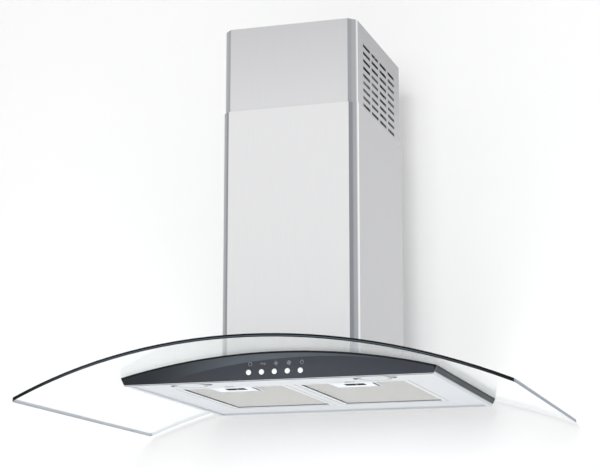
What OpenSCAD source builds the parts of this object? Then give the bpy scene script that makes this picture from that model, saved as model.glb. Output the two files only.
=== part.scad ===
// Island range hood: a bent glass canopy over a shallow body with two grease filters,
// two lamps and five push buttons, under a two-piece telescoping chimney that hides
// the blower and the ceiling frame. Millimetres, +X to the viewer's right, -Y to the
// front, +Z up. The origin is the middle of the ceiling bolts, on the ceiling's face.

/* [Canopy glass] */
// Width of the glass, tip to tip across the bend
glass_w = 900; // [700:1:1100]
// Length of each straight side edge of the glass
glass_side_d = 654; // [560:1:720]
// How far the middle of the front edge stands out past its corners
glass_bulge = 47; // [20:1:80]
// Thickness of the glass
glass_t = 6; // [5:0.5:10]
// Bend radius of the underside of the glass
glass_bend_r = 1200; // [1000:1:2000]
// Radius of the two rear corners of the glass
glass_corner_r = 10; // [4:1:30]
// Radius of the two front corners of the glass
glass_tip_r = 7; // [2:0.5:20]
// How far the glass runs past the back of the body
glass_overhang = 24; // [10:1:60]
// Clearance between the glass and what passes through it
glass_gap = 5; // [4:0.5:6]

/* [Body] */
// Width of the body at its rim
body_w = 585; // [560:1:620]
// Depth of the body, fascia to back
body_d = 510; // [490:1:640]
// Height of the glass's underside above the body's underside, at the middle
crown_h = 52; // [50:0.5:80]
// Height of the bright lower edge of each side, under the dark trim
rim_h = 4; // [3:0.1:5]
// How far each side slopes in from its top to the bottom
side_inset = 7; // [3:0.1:8]
// Thickness of the steel sheet
sheet = 1; // [0.8:0.1:1.5]
// Thickness of the seal between the body and the glass
gasket_t = 2; // [1:0.1:4]
// Width of the seal between the body and the glass
gasket_w = 10; // [6:1:20]
// Thickness of the dark glass fascia
fascia_t = 5; // [4:0.5:6]
// Height of the bright strip under the fascia
strip_h = 2; // [1.5:0.1:4]
// Thickness of the dark trim on each side, at its lower edge
trim_t = 2; // [1:0.1:3]
// Width of the flat hem round the underside
hem_w = 8; // [6:1:9]
// How far the filter panel is recessed above the hem
recess_h = 3; // [2:0.5:5]

/* [Filters] */
// Width of a filter
filter_w = 210; // [180:1:230]
// Depth of a filter, front to back
filter_d = 326; // [280:1:350]
// Thickness of a filter
filter_h = 8; // [7:0.5:10]
// Distance from the fascia to the front of the filters
filter_setback = 88; // [84:1:100]
// Distance between the two filters
filter_spacing = 18; // [16:1:30]
// Width of a filter's frame bars
filter_bar = 9; // [8:0.5:12]
// Clearance round a filter
filter_gap = 1; // [0.8:0.1:2]
// Width of one opening in the filter's mesh
mesh_cell_w = 20; // [16:1:30]
// Depth of one opening in the filter's mesh
mesh_cell_d = 11; // [9:1:16]
// Width of a strand of the mesh
strand = 2.2; // [1.5:0.1:3]
// Width of the latch plate
latch_w = 84; // [70:1:100]
// Depth of the latch plate
latch_d = 60; // [50:1:80]
// Travel of the latch
latch_travel = 5; // [4:0.5:6]
// Width of the latch bolt
bolt_w = 14; // [10:1:18]
// Radius of a filter's hinge pins
hinge_pin_r = 2; // [1.5:0.1:2.5]
// Clearance round a turning pin
pin_gap = 0.06; // [0.04:0.01:0.1]

/* [Lamps] */
// Radius of a lamp's bezel
lamp_r = 30; // [24:1:32]
// Distance from the middle of the hood to a lamp
lamp_x = 172; // [120:1:200]
// Distance from the fascia to the middle of a lamp
lamp_setback = 42; // [40:1:48]
// Distance from a lamp's middle to each of its screws
lamp_ear = 35; // [33:1:40]

/* [Buttons] */
// Number of push buttons
button_count = 5; // [3:1:7]
// Distance between buttons
button_pitch = 24; // [16:1:30]
// Radius of a button cap
button_r = 4.7; // [3:0.1:6]
// Height of the buttons above the body's underside
button_z = 16; // [14:1:24]
// Travel of a button
button_travel = 3; // [1.5:0.5:3]
// Clearance round a button
button_gap = 0.3; // [0.2:0.05:0.5]

/* [Chimney] */
// Width of the lower chimney sleeve
chimney_w = 264; // [250:1:320]
// Depth of the lower chimney sleeve
chimney_d = 332; // [326:1:380]
// Distance from the fascia back to the chimney
chimney_setback = 76; // [60:1:110]
// Height of the lower sleeve's top edge above the body's underside
lower_top = 522; // [500:1:620]
// Height of the ceiling above the body's underside
ceiling_h = 684; // [676:1:900]
// How far the upper sleeve reaches down into the lower one
sleeve_overlap = 100; // [60:5:130]
// Step from the outside of the lower sleeve to that of the upper one
sleeve_step = 2; // [1.6:0.1:4]
// Thickness of the sleeve sheet
sleeve_t = 0.8; // [0.6:0.1:1]
// Leg of the bevel along each front corner
bevel = 15; // [6:1:24]
// Clearance between the sleeves at their guides
guide_gap = 0.3; // [0.2:0.05:0.5]
// Length of a vent slot
vent_l = 50; // [30:1:54]
// Height of a vent slot
vent_h = 6; // [3:0.5:8]
// Distance between slots along a row
vent_pitch = 61; // [56:1:70]
// Distance between rows of slots
vent_rise = 14.5; // [10:0.5:16]
// Number of rows of slots on each side
vent_rows = 9; // [3:1:9]
// Number of slots in a row
vent_cols = 4; // [2:1:4]

/* [Blower] */
// Width of the blower box
box_w = 200; // [190:1:220]
// Depth of the blower box
box_d = 300; // [290:1:304]
// Height of the blower box
box_h = 260; // [256:1:280]
// Radius of the fan wheel
wheel_r = 85; // [70:1:86]
// Length of the fan wheel
wheel_w = 116; // [80:1:120]
// Number of blades on the fan wheel
blade_count = 32; // [20:2:40]
// Radial depth of a blade
blade_d = 14; // [10:1:18]
// Radius of the motor
motor_r = 44; // [35:1:50]
// Length of the motor
motor_l = 48; // [40:1:50]
// Radius of the motor shaft
shaft_r = 4; // [3:0.5:6]
// Outside radius of the exhaust collar
collar_r = 75; // [60:0.5:76]
// Length of the exhaust collar
collar_l = 55; // [50:1:60]
// Wall of the plastic scroll and collar
plastic_t = 2; // [1.5:0.1:3]
// Growth of the scroll's radius in each quarter turn
scroll_growth = 12; // [8:1:13]

/* [Ceiling frame] */
// Leg of the angle-section posts
post_leg = 25; // [20:1:25]
// Thickness of the posts
post_t = 1.5; // [1:0.1:2]
// Height of the lower posts above the blower box
post_rise = 140; // [120:5:160]
// Distance between rows of holes in the posts
post_hole_pitch = 40; // [20:5:50]
// Thickness of the ceiling plate
plate_t = 3; // [2:0.5:5]
// Distance between the ceiling bolts, across
bolt_dx = 210; // [206:1:220]
// Distance between the ceiling bolts, front to back
bolt_dy = 160; // [120:1:200]
// Radius of the ceiling bolt holes
bolt_hole_r = 4.5; // [3:0.5:6]
// Room round the duct where it passes the ceiling plate
duct_gap = 8; // [4:0.5:10]

/* [Hidden] */
$fn = 64;

// facets for the wide arcs of the glass and the body
arch_fn = 256;
// a hair of room where a curved face rests on a curved face
seat = 0.1;
// a cut runs this far past what it cuts
cut = 1;

// plan of the hood: the chimney stands round the origin
front_y = -chimney_d / 2 - chimney_setback;
back_y = front_y + body_d;
glass_back_y = back_y + glass_overhang;
glass_corner_y = glass_back_y - glass_side_d;
glass_arc_r = (pow(glass_w / 2, 2) + pow(glass_bulge, 2)) / (2 * glass_bulge);
glass_arc_y = glass_corner_y - glass_bulge + glass_arc_r;
// middle of the round at each front corner, which touches the side and runs a hair past
// the front arc that trims it
tip_x = glass_w / 2 - glass_tip_r;
tip_y = glass_arc_y - sqrt(pow(glass_arc_r - glass_tip_r, 2) - pow(tip_x, 2)) - seat;
cutout_r = 8;
glass_screw_x = box_w / 2 + 17;
glass_screw_y = 100;
glass_screw_r = 2.5;
washer_r = 8;
washer_t = 1.5;

// the glass bends about an axis along Y
bend_z = crown_h - glass_bend_r;
glass_top_r = glass_bend_r + glass_t;
seat_r = glass_bend_r - gasket_t;
bottom_hw = body_w / 2 - side_inset;
// height of each side, where the seal's underside meets it
side_h = bend_z + sqrt(pow(seat_r, 2) - pow(body_w / 2, 2));
function side_x(z) = bottom_hw + side_inset * z / side_h;
shell_hw = floor(10 * (side_x(rim_h) - trim_t)) / 10;
ledge_hw = shell_hw - 3 * sheet;
shell_front_y = front_y + fascia_t;
shell_back_y = back_y - sheet;

// filters
panel_z = recess_h;
panel_top = panel_z + sheet;
filter_cx = (filter_spacing + filter_w) / 2;
filter_y0 = front_y + filter_setback;
filter_y1 = filter_y0 + filter_d;
rear_gap = filter_gap + 1.5;
hinge_y = filter_y1 - 4;
hinge_z = panel_z + filter_h - 2;
hinge_reach = 9;
hinge_ear_t = 2;
latch_t = 2;
pocket_w = 38;
pocket_d = 24;
pocket_y0 = filter_y0 + 20;
bolt_z = panel_top + 1;
bolt_t = 2;
bolt_nose = latch_travel + 1;
slide_gap = 0.3;
catch_t = 0.6;
// the latch slides as one piece: a cross bar with the bolt, two rails and a finger tab
slider_hw = pocket_w / 2 - 2;
rail_w = 3;
tab_t = 3;
tab_y1 = pocket_y0 + 14;

// lamps
lamp_y = front_y + lamp_setback;
lamp_cup_r = lamp_r - 3;
lamp_cup_h = 18;

// buttons, along the line that they are pressed
cap_out = 3.5;
flange_y = fascia_t + 0.3;
flange_t = 1;
flange_r = button_r + 1.1;
well_r = flange_r + 0.7;
well_y = fascia_t + sheet;
well_d = 8;
stem_r = 1.5;
block_d = 18;

// fan wheel, scroll and box
box_z0 = crown_h - gasket_t;
box_top = box_z0 + box_h;
scroll_r = wheel_r + 7;
scroll_low = scroll_r + 3 * scroll_growth + plastic_t;
wheel_z = box_z0 + scroll_low + 8;
wheel_y = -40;
scroll_iw = wheel_w + 10;
inlet_r = wheel_r - 9;
outlet_y0 = wheel_y + scroll_r * cos(55);
outlet_y1 = wheel_y + scroll_r + 4 * scroll_growth;
motor_x1 = -6;
motor_x0 = motor_x1 - motor_l;
bracket_x = -scroll_iw / 2 - plastic_t;
blade_t = 1.2;
ring_t = 2;
shaft_fit = 0.02;

// exhaust collar and its two flaps
adapter_h = 30;
collar_z = box_top + adapter_h;
collar_y = (outlet_y0 + outlet_y1) / 2 - 12;
collar_in_r = collar_r - plastic_t;
lip_w = 2;
flap_t = 1.5;
flap_rest = 0.3;
flap_z = collar_z + flap_rest + flap_t + 0.2;
flap_pivot = 4;
flap_pin_r = 1.5;
flap_gap = 1;

// chimney
lower_hw = chimney_w / 2;
lower_hd = chimney_d / 2;
upper_hw = lower_hw - sleeve_step;
upper_hd = lower_hd - sleeve_step;
upper_z0 = lower_top - sleeve_overlap;
guide_t = sleeve_step - sleeve_t - guide_gap;
vent_y = bevel / 2;
vent_z0 = lower_top + 9;
sleeve_screw_x = 60;

// ceiling frame
plate_gap = 0.3;
plate_hw = upper_hw - sleeve_t - plate_gap;
plate_hd = upper_hd - sleeve_t - plate_gap;
plate_z = ceiling_h - plate_t;
plate_lip = 20;
post_top = box_top + post_rise;
post_foot = 1.5;
brace_w = 18;
post_screw_r = 2;
post_hole_z0 = box_top + 30;

// ---- helpers -------------------------------------------------------------

// from heights above the body's underside to the row frame
module hung() {
    translate([0, 0, -ceiling_h]) children();
}

// an outline drawn in X and Z, from y0 to y1
module along_y(y0, y1) {
    translate([0, y1, 0]) rotate([90, 0, 0]) linear_extrude(y1 - y0) children();
}

// an outline drawn in Y and Z, from x0 to x1
module along_x(x0, x1) {
    translate([x0, 0, 0]) rotate([90, 0, 90]) linear_extrude(x1 - x0) children();
}

// turns a piece made up along +Z so that it points to the back
module facing_back() {
    rotate([-90, 0, 0]) children();
}

// a corner-to-corner rectangle
module rect(x0, y0, x1, y1) {
    translate([x0, y0]) square([x1 - x0, y1 - y0]);
}

// a corner-to-corner block
module block(x0, y0, z0, x1, y1, z1) {
    translate([x0, y0, z0]) cube([x1 - x0, y1 - y0, z1 - z0]);
}

// a rectangle about the origin with round corners
module round_rect(w, d, r) {
    square([w - 2 * r, d], center = true);
    square([w, d - 2 * r], center = true);
    for (sx = [-1, 1], sy = [-1, 1]) {
        translate([sx * (w / 2 - r), sy * (d / 2 - r)]) circle(r = r);
    }
}

// everything below the bent surface of radius r, in X and Z
module under_arch(r) {
    translate([0, bend_z]) circle(r = r, $fn = arch_fn);
}

// the solid below the bent surface of radius r
module arch_solid(r, y0 = glass_corner_y - glass_bulge - cut, y1 = glass_back_y + cut) {
    along_y(y0, y1) under_arch(r);
}

// places a piece on the bent surface of radius r, square to it, over x on the glass's underside
module on_arch(x, y, r) {
    translate([0, y, bend_z]) rotate([0, asin(x / glass_bend_r), 0]) {
        translate([0, 0, r]) children();
    }
}

// outline of the body from the front, up to the bent surface of radius r
module body_outline(r) {
    intersection() {
        under_arch(r);
        polygon([
            [-bottom_hw, 0], [bottom_hw, 0],
            [side_x(crown_h), crown_h], [-side_x(crown_h), crown_h]
        ]);
    }
}

// plan of a chimney sleeve, with its front corners bevelled
module sleeve_plan(hw, hd, leg) {
    polygon([
        [-hw, hd], [hw, hd], [hw, leg - hd], [hw - leg, -hd],
        [leg - hw, -hd], [-hw, leg - hd]
    ]);
}

// the same plan moved in by t all round
module inner_plan(hw, hd, leg, t) {
    sleeve_plan(hw - t, hd - t, leg - t * (2 - sqrt(2)));
}

// a closed spring along +Z from z = 0 to z = h
function coil_point(r, h, turns, s) = [
    r * cos(360 * turns * s), r * sin(360 * turns * s), h * s
];
module coil_spring(r, wire, h, turns, steps = 14, sides = 6) {
    rings = turns * steps;
    points = [
        for (i = [0 : rings], k = [0 : sides - 1])
            let (s = i / rings, b = 360 * k / sides)
                coil_point(r + wire * cos(b), h - 2 * wire, turns, s)
                    + [0, 0, wire + wire * sin(b)]
    ];
    walls = [
        for (i = [0 : rings - 1], k = [0 : sides - 1], half = [0, 1])
            let (n = (k + 1) % sides, a = i * sides, b = a + sides)
                half == 0 ? [a + k, b + k, b + n] : [a + k, b + n, a + n]
    ];
    start = [for (k = [0 : sides - 1]) k];
    end = [for (k = [0 : sides - 1]) rings * sides + sides - 1 - k];
    polyhedron(points, concat([start], walls, [end]), convexity = turns + 2);
}

// ---- canopy --------------------------------------------------------------

module glass_plan() {
    tip_end = tip_x * glass_arc_r / (glass_arc_r - glass_tip_r);
    rear_y = glass_back_y - glass_corner_r;
    intersection() {
        translate([0, glass_arc_y]) circle(r = glass_arc_r, $fn = arch_fn);
        union() {
            rect(-tip_end, glass_corner_y - glass_bulge - cut, tip_end, tip_y);
            rect(-glass_w / 2, tip_y, glass_w / 2, rear_y);
            rect(-glass_w / 2 + glass_corner_r, rear_y, glass_w / 2 - glass_corner_r,
                glass_back_y);
            for (s = [-1, 1]) {
                translate([s * tip_x, tip_y]) circle(r = glass_tip_r);
                translate([s * (glass_w / 2 - glass_corner_r), rear_y]) {
                    circle(r = glass_corner_r);
                }
            }
        }
    }
}

module canopy_glass() {
    color("lightcyan", 0.5) hung() difference() {
        intersection() {
            difference() {
                arch_solid(glass_top_r);
                arch_solid(glass_bend_r, glass_corner_y - glass_bulge - 2 * cut,
                    glass_back_y + 2 * cut);
            }
            translate([0, 0, bend_z + glass_bend_r / 2]) {
                linear_extrude(glass_bend_r / 2 + 2 * glass_t) glass_plan();
            }
        }
        linear_extrude(crown_h + 2 * glass_t) {
            round_rect(box_w + 2 * glass_gap, box_d + 2 * glass_gap, cutout_r);
        }
        for (sx = [-1, 1], sy = [-1, 1]) {
            on_arch(sx * glass_screw_x, sy * glass_screw_y, glass_bend_r) {
                translate([0, 0, -cut]) cylinder(r = glass_screw_r + 1, h = glass_t + 2 * cut);
            }
        }
    }
}

module glass_gasket() {
    color("black") hung() intersection() {
        difference() {
            arch_solid(glass_bend_r - seat);
            arch_solid(seat_r + seat, glass_corner_y - glass_bulge - 2 * cut,
                glass_back_y + 2 * cut);
        }
        linear_extrude(crown_h) difference() {
            rect(-body_w / 2 + seat, front_y, body_w / 2 - seat, back_y);
            rect(gasket_w - body_w / 2, front_y + gasket_w, body_w / 2 - gasket_w,
                back_y - gasket_w);
        }
    }
}

module glass_screws() {
    color("silver") hung() for (sx = [-1, 1], sy = [-1, 1]) {
        on_arch(sx * glass_screw_x, sy * glass_screw_y, glass_top_r) {
            translate([0, 0, seat]) cylinder(r = washer_r, h = washer_t);
            translate([0, 0, washer_t + seat - 0.01]) cylinder(r = 2 * glass_screw_r, h = 3);
            translate([0, 0, -glass_t - gasket_t - 8]) {
                cylinder(r = glass_screw_r, h = glass_t + gasket_t + 9);
            }
            translate([0, 0, -glass_t - gasket_t - sheet - 3 * seat - 4]) {
                cylinder(r = 2 * glass_screw_r, h = 4, $fn = 6);
            }
        }
    }
}

// ---- body ----------------------------------------------------------------

module shell_section(r, hw) {
    intersection() {
        under_arch(r);
        rect(-hw, rim_h, hw, crown_h);
    }
}

module body_shell() {
    color("silver") hung() difference() {
        union() {
            along_y(shell_front_y, shell_back_y) difference() {
                shell_section(seat_r, shell_hw);
                translate([0, -seat]) shell_section(seat_r - sheet, shell_hw - sheet);
                rect(sheet - shell_hw, 0, shell_hw - sheet, rim_h + 1);
            }
            along_y(shell_front_y, shell_front_y + sheet) shell_section(seat_r, shell_hw);
        }
        linear_extrude(crown_h + cut) {
            round_rect(box_w - 2 * gasket_w, box_d - 2 * gasket_w, cutout_r);
        }
        for (sx = [-1, 1], sy = [-1, 1]) {
            on_arch(sx * glass_screw_x, sy * glass_screw_y, seat_r) {
                translate([0, 0, -sheet - 2 * cut]) {
                    cylinder(r = glass_screw_r + 0.3, h = sheet + 4 * cut);
                }
            }
        }
        for (i = [1 : button_count]) {
            at_button(i, fascia_t - cut) cylinder(r = well_r, h = sheet + 2 * cut);
        }
    }
}

module fascia() {
    color("darkslategray") hung() difference() {
        along_y(front_y, shell_front_y) intersection() {
            body_outline(seat_r);
            rect(-body_w, strip_h, body_w, crown_h);
        }
        for (i = [1 : button_count]) {
            at_button(i, -cut) cylinder(r = button_r + button_gap, h = fascia_t + 2 * cut);
        }
    }
}

module side_trim(side) {
    color("dimgray") hung() along_y(shell_front_y, back_y) intersection() {
        body_outline(seat_r);
        rect(min(side * shell_hw, side * body_w), rim_h,
            max(side * shell_hw, side * body_w), crown_h);
    }
}

module rear_panel() {
    color("gray") hung() along_y(shell_back_y, back_y) intersection() {
        under_arch(seat_r);
        union() {
            rect(-ledge_hw, sheet, ledge_hw, rim_h);
            rect(-shell_hw, rim_h, shell_hw, crown_h);
        }
    }
}

module hem_plan(inset) {
    rect(inset - bottom_hw, front_y + inset, bottom_hw - inset, back_y - inset);
}

module filter_opening(side) {
    rect(side * filter_cx - filter_w / 2 - filter_gap, filter_y0 - filter_gap,
        side * filter_cx + filter_w / 2 + filter_gap, filter_y1 + rear_gap);
    // notch that the latch bolt passes on its way down
    rect(side * filter_cx - bolt_w / 2 - 2, filter_y0 - filter_gap - bolt_nose - 2,
        side * filter_cx + bolt_w / 2 + 2, filter_y0);
}

module bottom_panel() {
    color("gainsboro") hung() {
        linear_extrude(sheet) difference() {
            hem_plan(0);
            hem_plan(hem_w);
        }
        linear_extrude(panel_top) difference() {
            hem_plan(hem_w - sheet);
            hem_plan(hem_w);
        }
        translate([0, 0, panel_z]) linear_extrude(sheet) difference() {
            hem_plan(hem_w - sheet);
            for (side = [-1, 1]) {
                filter_opening(side);
                translate([side * lamp_x, lamp_y]) circle(r = lamp_cup_r + slide_gap);
                for (e = [-1, 1]) {
                    translate([side * lamp_x + e * lamp_ear, lamp_y]) circle(r = 1.6);
                }
            }
        }
        // bright strip under the fascia
        along_y(front_y, shell_front_y) polygon([
            [-bottom_hw, 0], [bottom_hw, 0],
            [side_x(strip_h), strip_h], [-side_x(strip_h), strip_h]
        ]);
        // sloped edge of each side, with a ledge that the shell and the trim stand on
        for (side = [-1, 1]) {
            along_y(shell_front_y, back_y) polygon([
                [side * (bottom_hw - sheet), 0], [side * bottom_hw, 0],
                [side * side_x(rim_h), rim_h], [side * ledge_hw, rim_h],
                [side * ledge_hw, rim_h - sheet],
                [side * (side_x(rim_h - sheet) - sheet), rim_h - sheet],
                [side * (bottom_hw - sheet), sheet]
            ]);
        }
    }
}

// ---- filters -------------------------------------------------------------

module filter_hinge_brackets() {
    ear = hinge_pin_r + 2.5;
    color("silver") hung() for (side = [-1, 1], e = [-1, 1]) {
        x = side * filter_cx + e * (filter_w / 2 + hinge_reach - hinge_ear_t - 1);
        difference() {
            union() {
                along_x(x - hinge_ear_t / 2, x + hinge_ear_t / 2) {
                    translate([hinge_y, hinge_z]) circle(r = ear);
                    rect(hinge_y - ear, panel_top, hinge_y + ear, hinge_z);
                }
                block(x - hinge_ear_t / 2, hinge_y - ear, panel_top,
                    x + hinge_ear_t / 2, hinge_y + ear + 10, panel_top + sheet);
            }
            along_x(x - hinge_ear_t, x + hinge_ear_t) {
                translate([hinge_y, hinge_z]) circle(r = hinge_pin_r + pin_gap);
            }
        }
    }
}

module latch_window(side) {
    translate([side * filter_cx, filter_y0 + filter_bar + latch_d / 2 - 3]) {
        square([latch_w, latch_d], center = true);
    }
}

module filter_frame(side) {
    cx = side * filter_cx;
    color("silver") hung() difference() {
        union() {
            translate([0, 0, panel_z]) linear_extrude(filter_h) difference() {
                rect(cx - filter_w / 2, filter_y0, cx + filter_w / 2, filter_y1);
                rect(cx - filter_w / 2 + filter_bar, filter_y0 + filter_bar,
                    cx + filter_w / 2 - filter_bar, filter_y1 - filter_bar);
            }
            along_x(cx - filter_w / 2 - hinge_reach, cx + filter_w / 2 + hinge_reach) {
                translate([hinge_y, hinge_z]) circle(r = hinge_pin_r);
            }
        }
        // slot for the latch bolt
        block(cx - bolt_w / 2 - slide_gap, filter_y0 - cut, bolt_z - slide_gap,
            cx + bolt_w / 2 + slide_gap, filter_y0 + filter_bar + cut,
            bolt_z + bolt_t + slide_gap);
    }
}

// the expanded sheet: a field of staggered diamond openings
module mesh_plan(side) {
    w = filter_w - 2 * filter_bar;
    d = filter_d - 2 * filter_bar;
    cols = floor((w - 2 * strand) / mesh_cell_w);
    rows = floor((d - 2 * strand) / mesh_cell_d);
    dx = mesh_cell_w;
    dy = mesh_cell_d;
    hx = dx / 2 - strand;
    hy = dy - strand;
    difference() {
        translate([side * filter_cx - w / 2, filter_y0 + filter_bar]) {
            difference() {
                square([w, d]);
                for (j = [0 : rows - 2], i = [0 : cols - 1 - j % 2]) {
                    translate([
                        (w - cols * dx) / 2 + dx * (i + 0.5 + (j % 2) / 2),
                        (d - rows * dy) / 2 + dy * (j + 1)
                    ]) {
                        polygon([[-hx, 0], [0, -hy], [hx, 0], [0, hy]]);
                    }
                }
            }
        }
        latch_window(side);
    }
}

module filter_mesh(side) {
    color("lightgray") hung() translate([0, 0, panel_z + 2]) {
        linear_extrude(2) mesh_plan(side);
    }
}

module latch_plate(side) {
    cx = side * filter_cx;
    y0 = filter_y0 + filter_bar;
    color("white") hung() difference() {
        union() {
            block(cx - latch_w / 2, y0, panel_z, cx + latch_w / 2, y0 + latch_d - 3,
                panel_z + latch_t);
            // walls of the finger pocket
            block(cx - pocket_w / 2 - 1.5, pocket_y0 - 1.5, panel_z, cx + pocket_w / 2 + 1.5,
                pocket_y0 + pocket_d + 1.5, panel_z + 9);
        }
        block(cx - pocket_w / 2, pocket_y0, panel_z - cut, cx + pocket_w / 2,
            pocket_y0 + pocket_d, panel_z + 7.5);
        // slot for the rails
        block(cx - slider_hw - slide_gap, y0 - cut, bolt_z - slide_gap,
            cx + slider_hw + slide_gap, pocket_y0 + cut, bolt_z + bolt_t + slide_gap);
    }
}

module latch_slider(side) {
    cx = side * filter_cx;
    bar_y = filter_y0 + filter_bar + slide_gap;
    color("dimgray") hung() {
        translate([0, 0, bolt_z]) linear_extrude(bolt_t) {
            rect(cx - bolt_w / 2, filter_y0 - bolt_nose, cx + bolt_w / 2, bar_y + rail_w);
            difference() {
                rect(cx - slider_hw, bar_y, cx + slider_hw, tab_y1);
                rect(cx - slider_hw + rail_w, bar_y + rail_w, cx + slider_hw - rail_w,
                    tab_y1 - tab_t);
            }
        }
        // finger tab, ribbed for grip
        block(cx - slider_hw, tab_y1 - tab_t, panel_z + 0.5, cx + slider_hw, tab_y1,
            bolt_z + bolt_t);
        for (k = [-3 : 3]) {
            block(cx + 4 * k - 0.5, tab_y1 - tab_t - 0.6, panel_z + 0.5, cx + 4 * k + 0.5,
                tab_y1 - tab_t + cut, bolt_z);
        }
    }
}

module latch_spring(side) {
    y0 = tab_y1 + seat;
    color("silver") hung() {
        translate([side * filter_cx, y0, bolt_z + 0.2]) facing_back() {
            coil_spring(1.8, 0.35, pocket_y0 + pocket_d - seat - y0, 6, 10, 5);
        }
    }
}

// leaf spring that the bolt rests on
module filter_catch(side) {
    cx = side * filter_cx;
    color("silver") hung() {
        block(cx - bolt_w / 2, filter_y0 - filter_gap - bolt_nose - 16, panel_top,
            cx + bolt_w / 2, filter_y0 - filter_gap - 0.5, panel_top + catch_t);
        translate([cx, filter_y0 - filter_gap - bolt_nose - 10, panel_top]) {
            cylinder(r = 2.5, h = catch_t + 1);
        }
    }
}

// ---- lamps ---------------------------------------------------------------

module at_lamp(side) {
    translate([side * lamp_x, lamp_y, panel_z]) children();
}

module lamp_bezel(side) {
    color("silver") hung() at_lamp(side) difference() {
        union() {
            translate([0, 0, -1.2]) linear_extrude(1.2) {
                circle(r = lamp_r);
                for (e = [-1, 1]) {
                    translate([e * lamp_ear, 0]) circle(r = 5);
                    rect(min(0, e * lamp_ear), -5, max(0, e * lamp_ear), 5);
                }
            }
            cylinder(r = lamp_cup_r, h = lamp_cup_h);
            for (e = [-1, 1]) {
                translate([e * lamp_ear, 0, -2.2]) cylinder(r = 2.8, h = 1.1);
                translate([e * lamp_ear, 0, -1.3]) cylinder(r = 1.5, h = 6);
            }
        }
        translate([0, 0, -2 * cut]) cylinder(r = lamp_cup_r - 3, h = 2 * cut + 2);
        translate([0, 0, 1]) cylinder(r = lamp_cup_r - 1, h = lamp_cup_h - 2);
        translate([0, 0, lamp_cup_h - 2]) cylinder(r = 6, h = 4);
    }
}

module lamp_lens(side) {
    r = lamp_cup_r - 3 - 0.2;
    dome = 2;
    ball = (r * r + dome * dome) / (2 * dome);
    color("white", 0.7) hung() at_lamp(side) {
        intersection() {
            translate([0, 0, ball - 1.2 - dome]) sphere(r = ball, $fn = 128);
            translate([0, 0, -1.2 - dome - cut]) cylinder(r = r, h = dome + cut + 2.1);
        }
        translate([0, 0, 1.05]) cylinder(r = lamp_cup_r - 1.4, h = 1.2);
        translate([0, 0, 0.5]) cylinder(r = r, h = 1);
    }
}

module lamp_bulbs() {
    color("white") hung() for (side = [-1, 1]) {
        at_lamp(side) rotate_extrude() polygon([
            [0, 6], [3.4, 7], [4.5, 9], [4.5, 14], [5.6, 15], [5.6, 25], [0, 25]
        ]);
        at_lamp(side) translate([0, 0, lamp_cup_h]) difference() {
            cylinder(r = 11, h = 5);
            translate([0, 0, -cut]) cylinder(r = 5.5, h = 5 + 2 * cut);
        }
    }
}

// ---- buttons -------------------------------------------------------------

module at_button(i, depth) {
    x = (i - (button_count + 1) / 2) * button_pitch;
    translate([x, front_y + depth, button_z]) facing_back() children();
}

module push_button(i) {
    r = button_r;
    color("whitesmoke") hung() at_button(i, 0) {
        intersection() {
            translate([0, 0, r * 0.6]) sphere(r = r * 0.6 + cap_out);
            translate([0, 0, -cap_out - cut]) cylinder(r = r, h = cap_out + cut + flange_y + 0.1);
        }
        translate([0, 0, -0.5]) cylinder(r = r, h = flange_y + 0.5);
        translate([0, 0, flange_y]) cylinder(r = flange_r, h = flange_t);
        translate([0, 0, flange_y]) cylinder(r = stem_r, h = well_y + well_d - flange_y + 4);
    }
}

module button_spring(i) {
    z0 = flange_y + flange_t + seat;
    color("silver") hung() at_button(i, z0) {
        coil_spring(3.2, 0.35, well_y + well_d - seat - z0, 5, 12, 5);
    }
}

module switch_block() {
    hw = (button_count + 1) / 2 * button_pitch;
    color("black") hung() difference() {
        block(-hw, front_y + well_y, button_z - 9, hw, front_y + well_y + block_d, button_z + 9);
        for (i = [1 : button_count]) {
            at_button(i, well_y - cut) cylinder(r = well_r, h = well_d + cut);
            at_button(i, well_y) cylinder(r = stem_r + 0.2, h = block_d - 2);
        }
    }
}

// ---- blower --------------------------------------------------------------

module blower_box() {
    color("silver") hung() difference() {
        union() {
            difference() {
                block(-box_w / 2, -box_d / 2, box_z0 - 10, box_w / 2, box_d / 2, box_top);
                block(sheet - box_w / 2, sheet - box_d / 2, box_z0 - 10 - cut, box_w / 2 - sheet,
                    box_d / 2 - sheet, box_top - sheet);
            }
            // feet turned in along the bottom edges
            linear_extrude(box_z0 + 1) difference() {
                square([box_w, box_d], center = true);
                round_rect(box_w - 2 * gasket_w, box_d - 2 * gasket_w, cutout_r);
            }
        }
        arch_solid(seat_r + seat, -box_d, box_d);
        // outlet of the scroll
        block(-scroll_iw / 2, outlet_y0, box_top - 2 * sheet, scroll_iw / 2, outlet_y1,
            box_top + cut);
    }
}

// the scroll seen along its axis, with its outlet to the top right: four quarter arcs
// whose centres step round a small square, so that each meets the next square on
module scroll_plan(grow, top) {
    g = scroll_growth;
    r = scroll_r + grow;
    far = scroll_r + 6 * g;
    intersection() {
        circle(r = r);
        square([far, far]);
    }
    intersection() {
        translate([0, -g]) circle(r = r + g);
        translate([-far, -g]) square([far, far]);
    }
    intersection() {
        translate([g, -g]) circle(r = r + 2 * g);
        translate([g - far, -g - far]) square([far, far]);
    }
    intersection() {
        translate([g, 0]) circle(r = r + 3 * g);
        translate([g, -far]) square([far, far]);
    }
    translate([0, -g]) square([g, g]);
    translate([outlet_y0 - wheel_y - grow, 0]) {
        square([outlet_y1 - outlet_y0 + 2 * grow, top]);
    }
}

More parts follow.
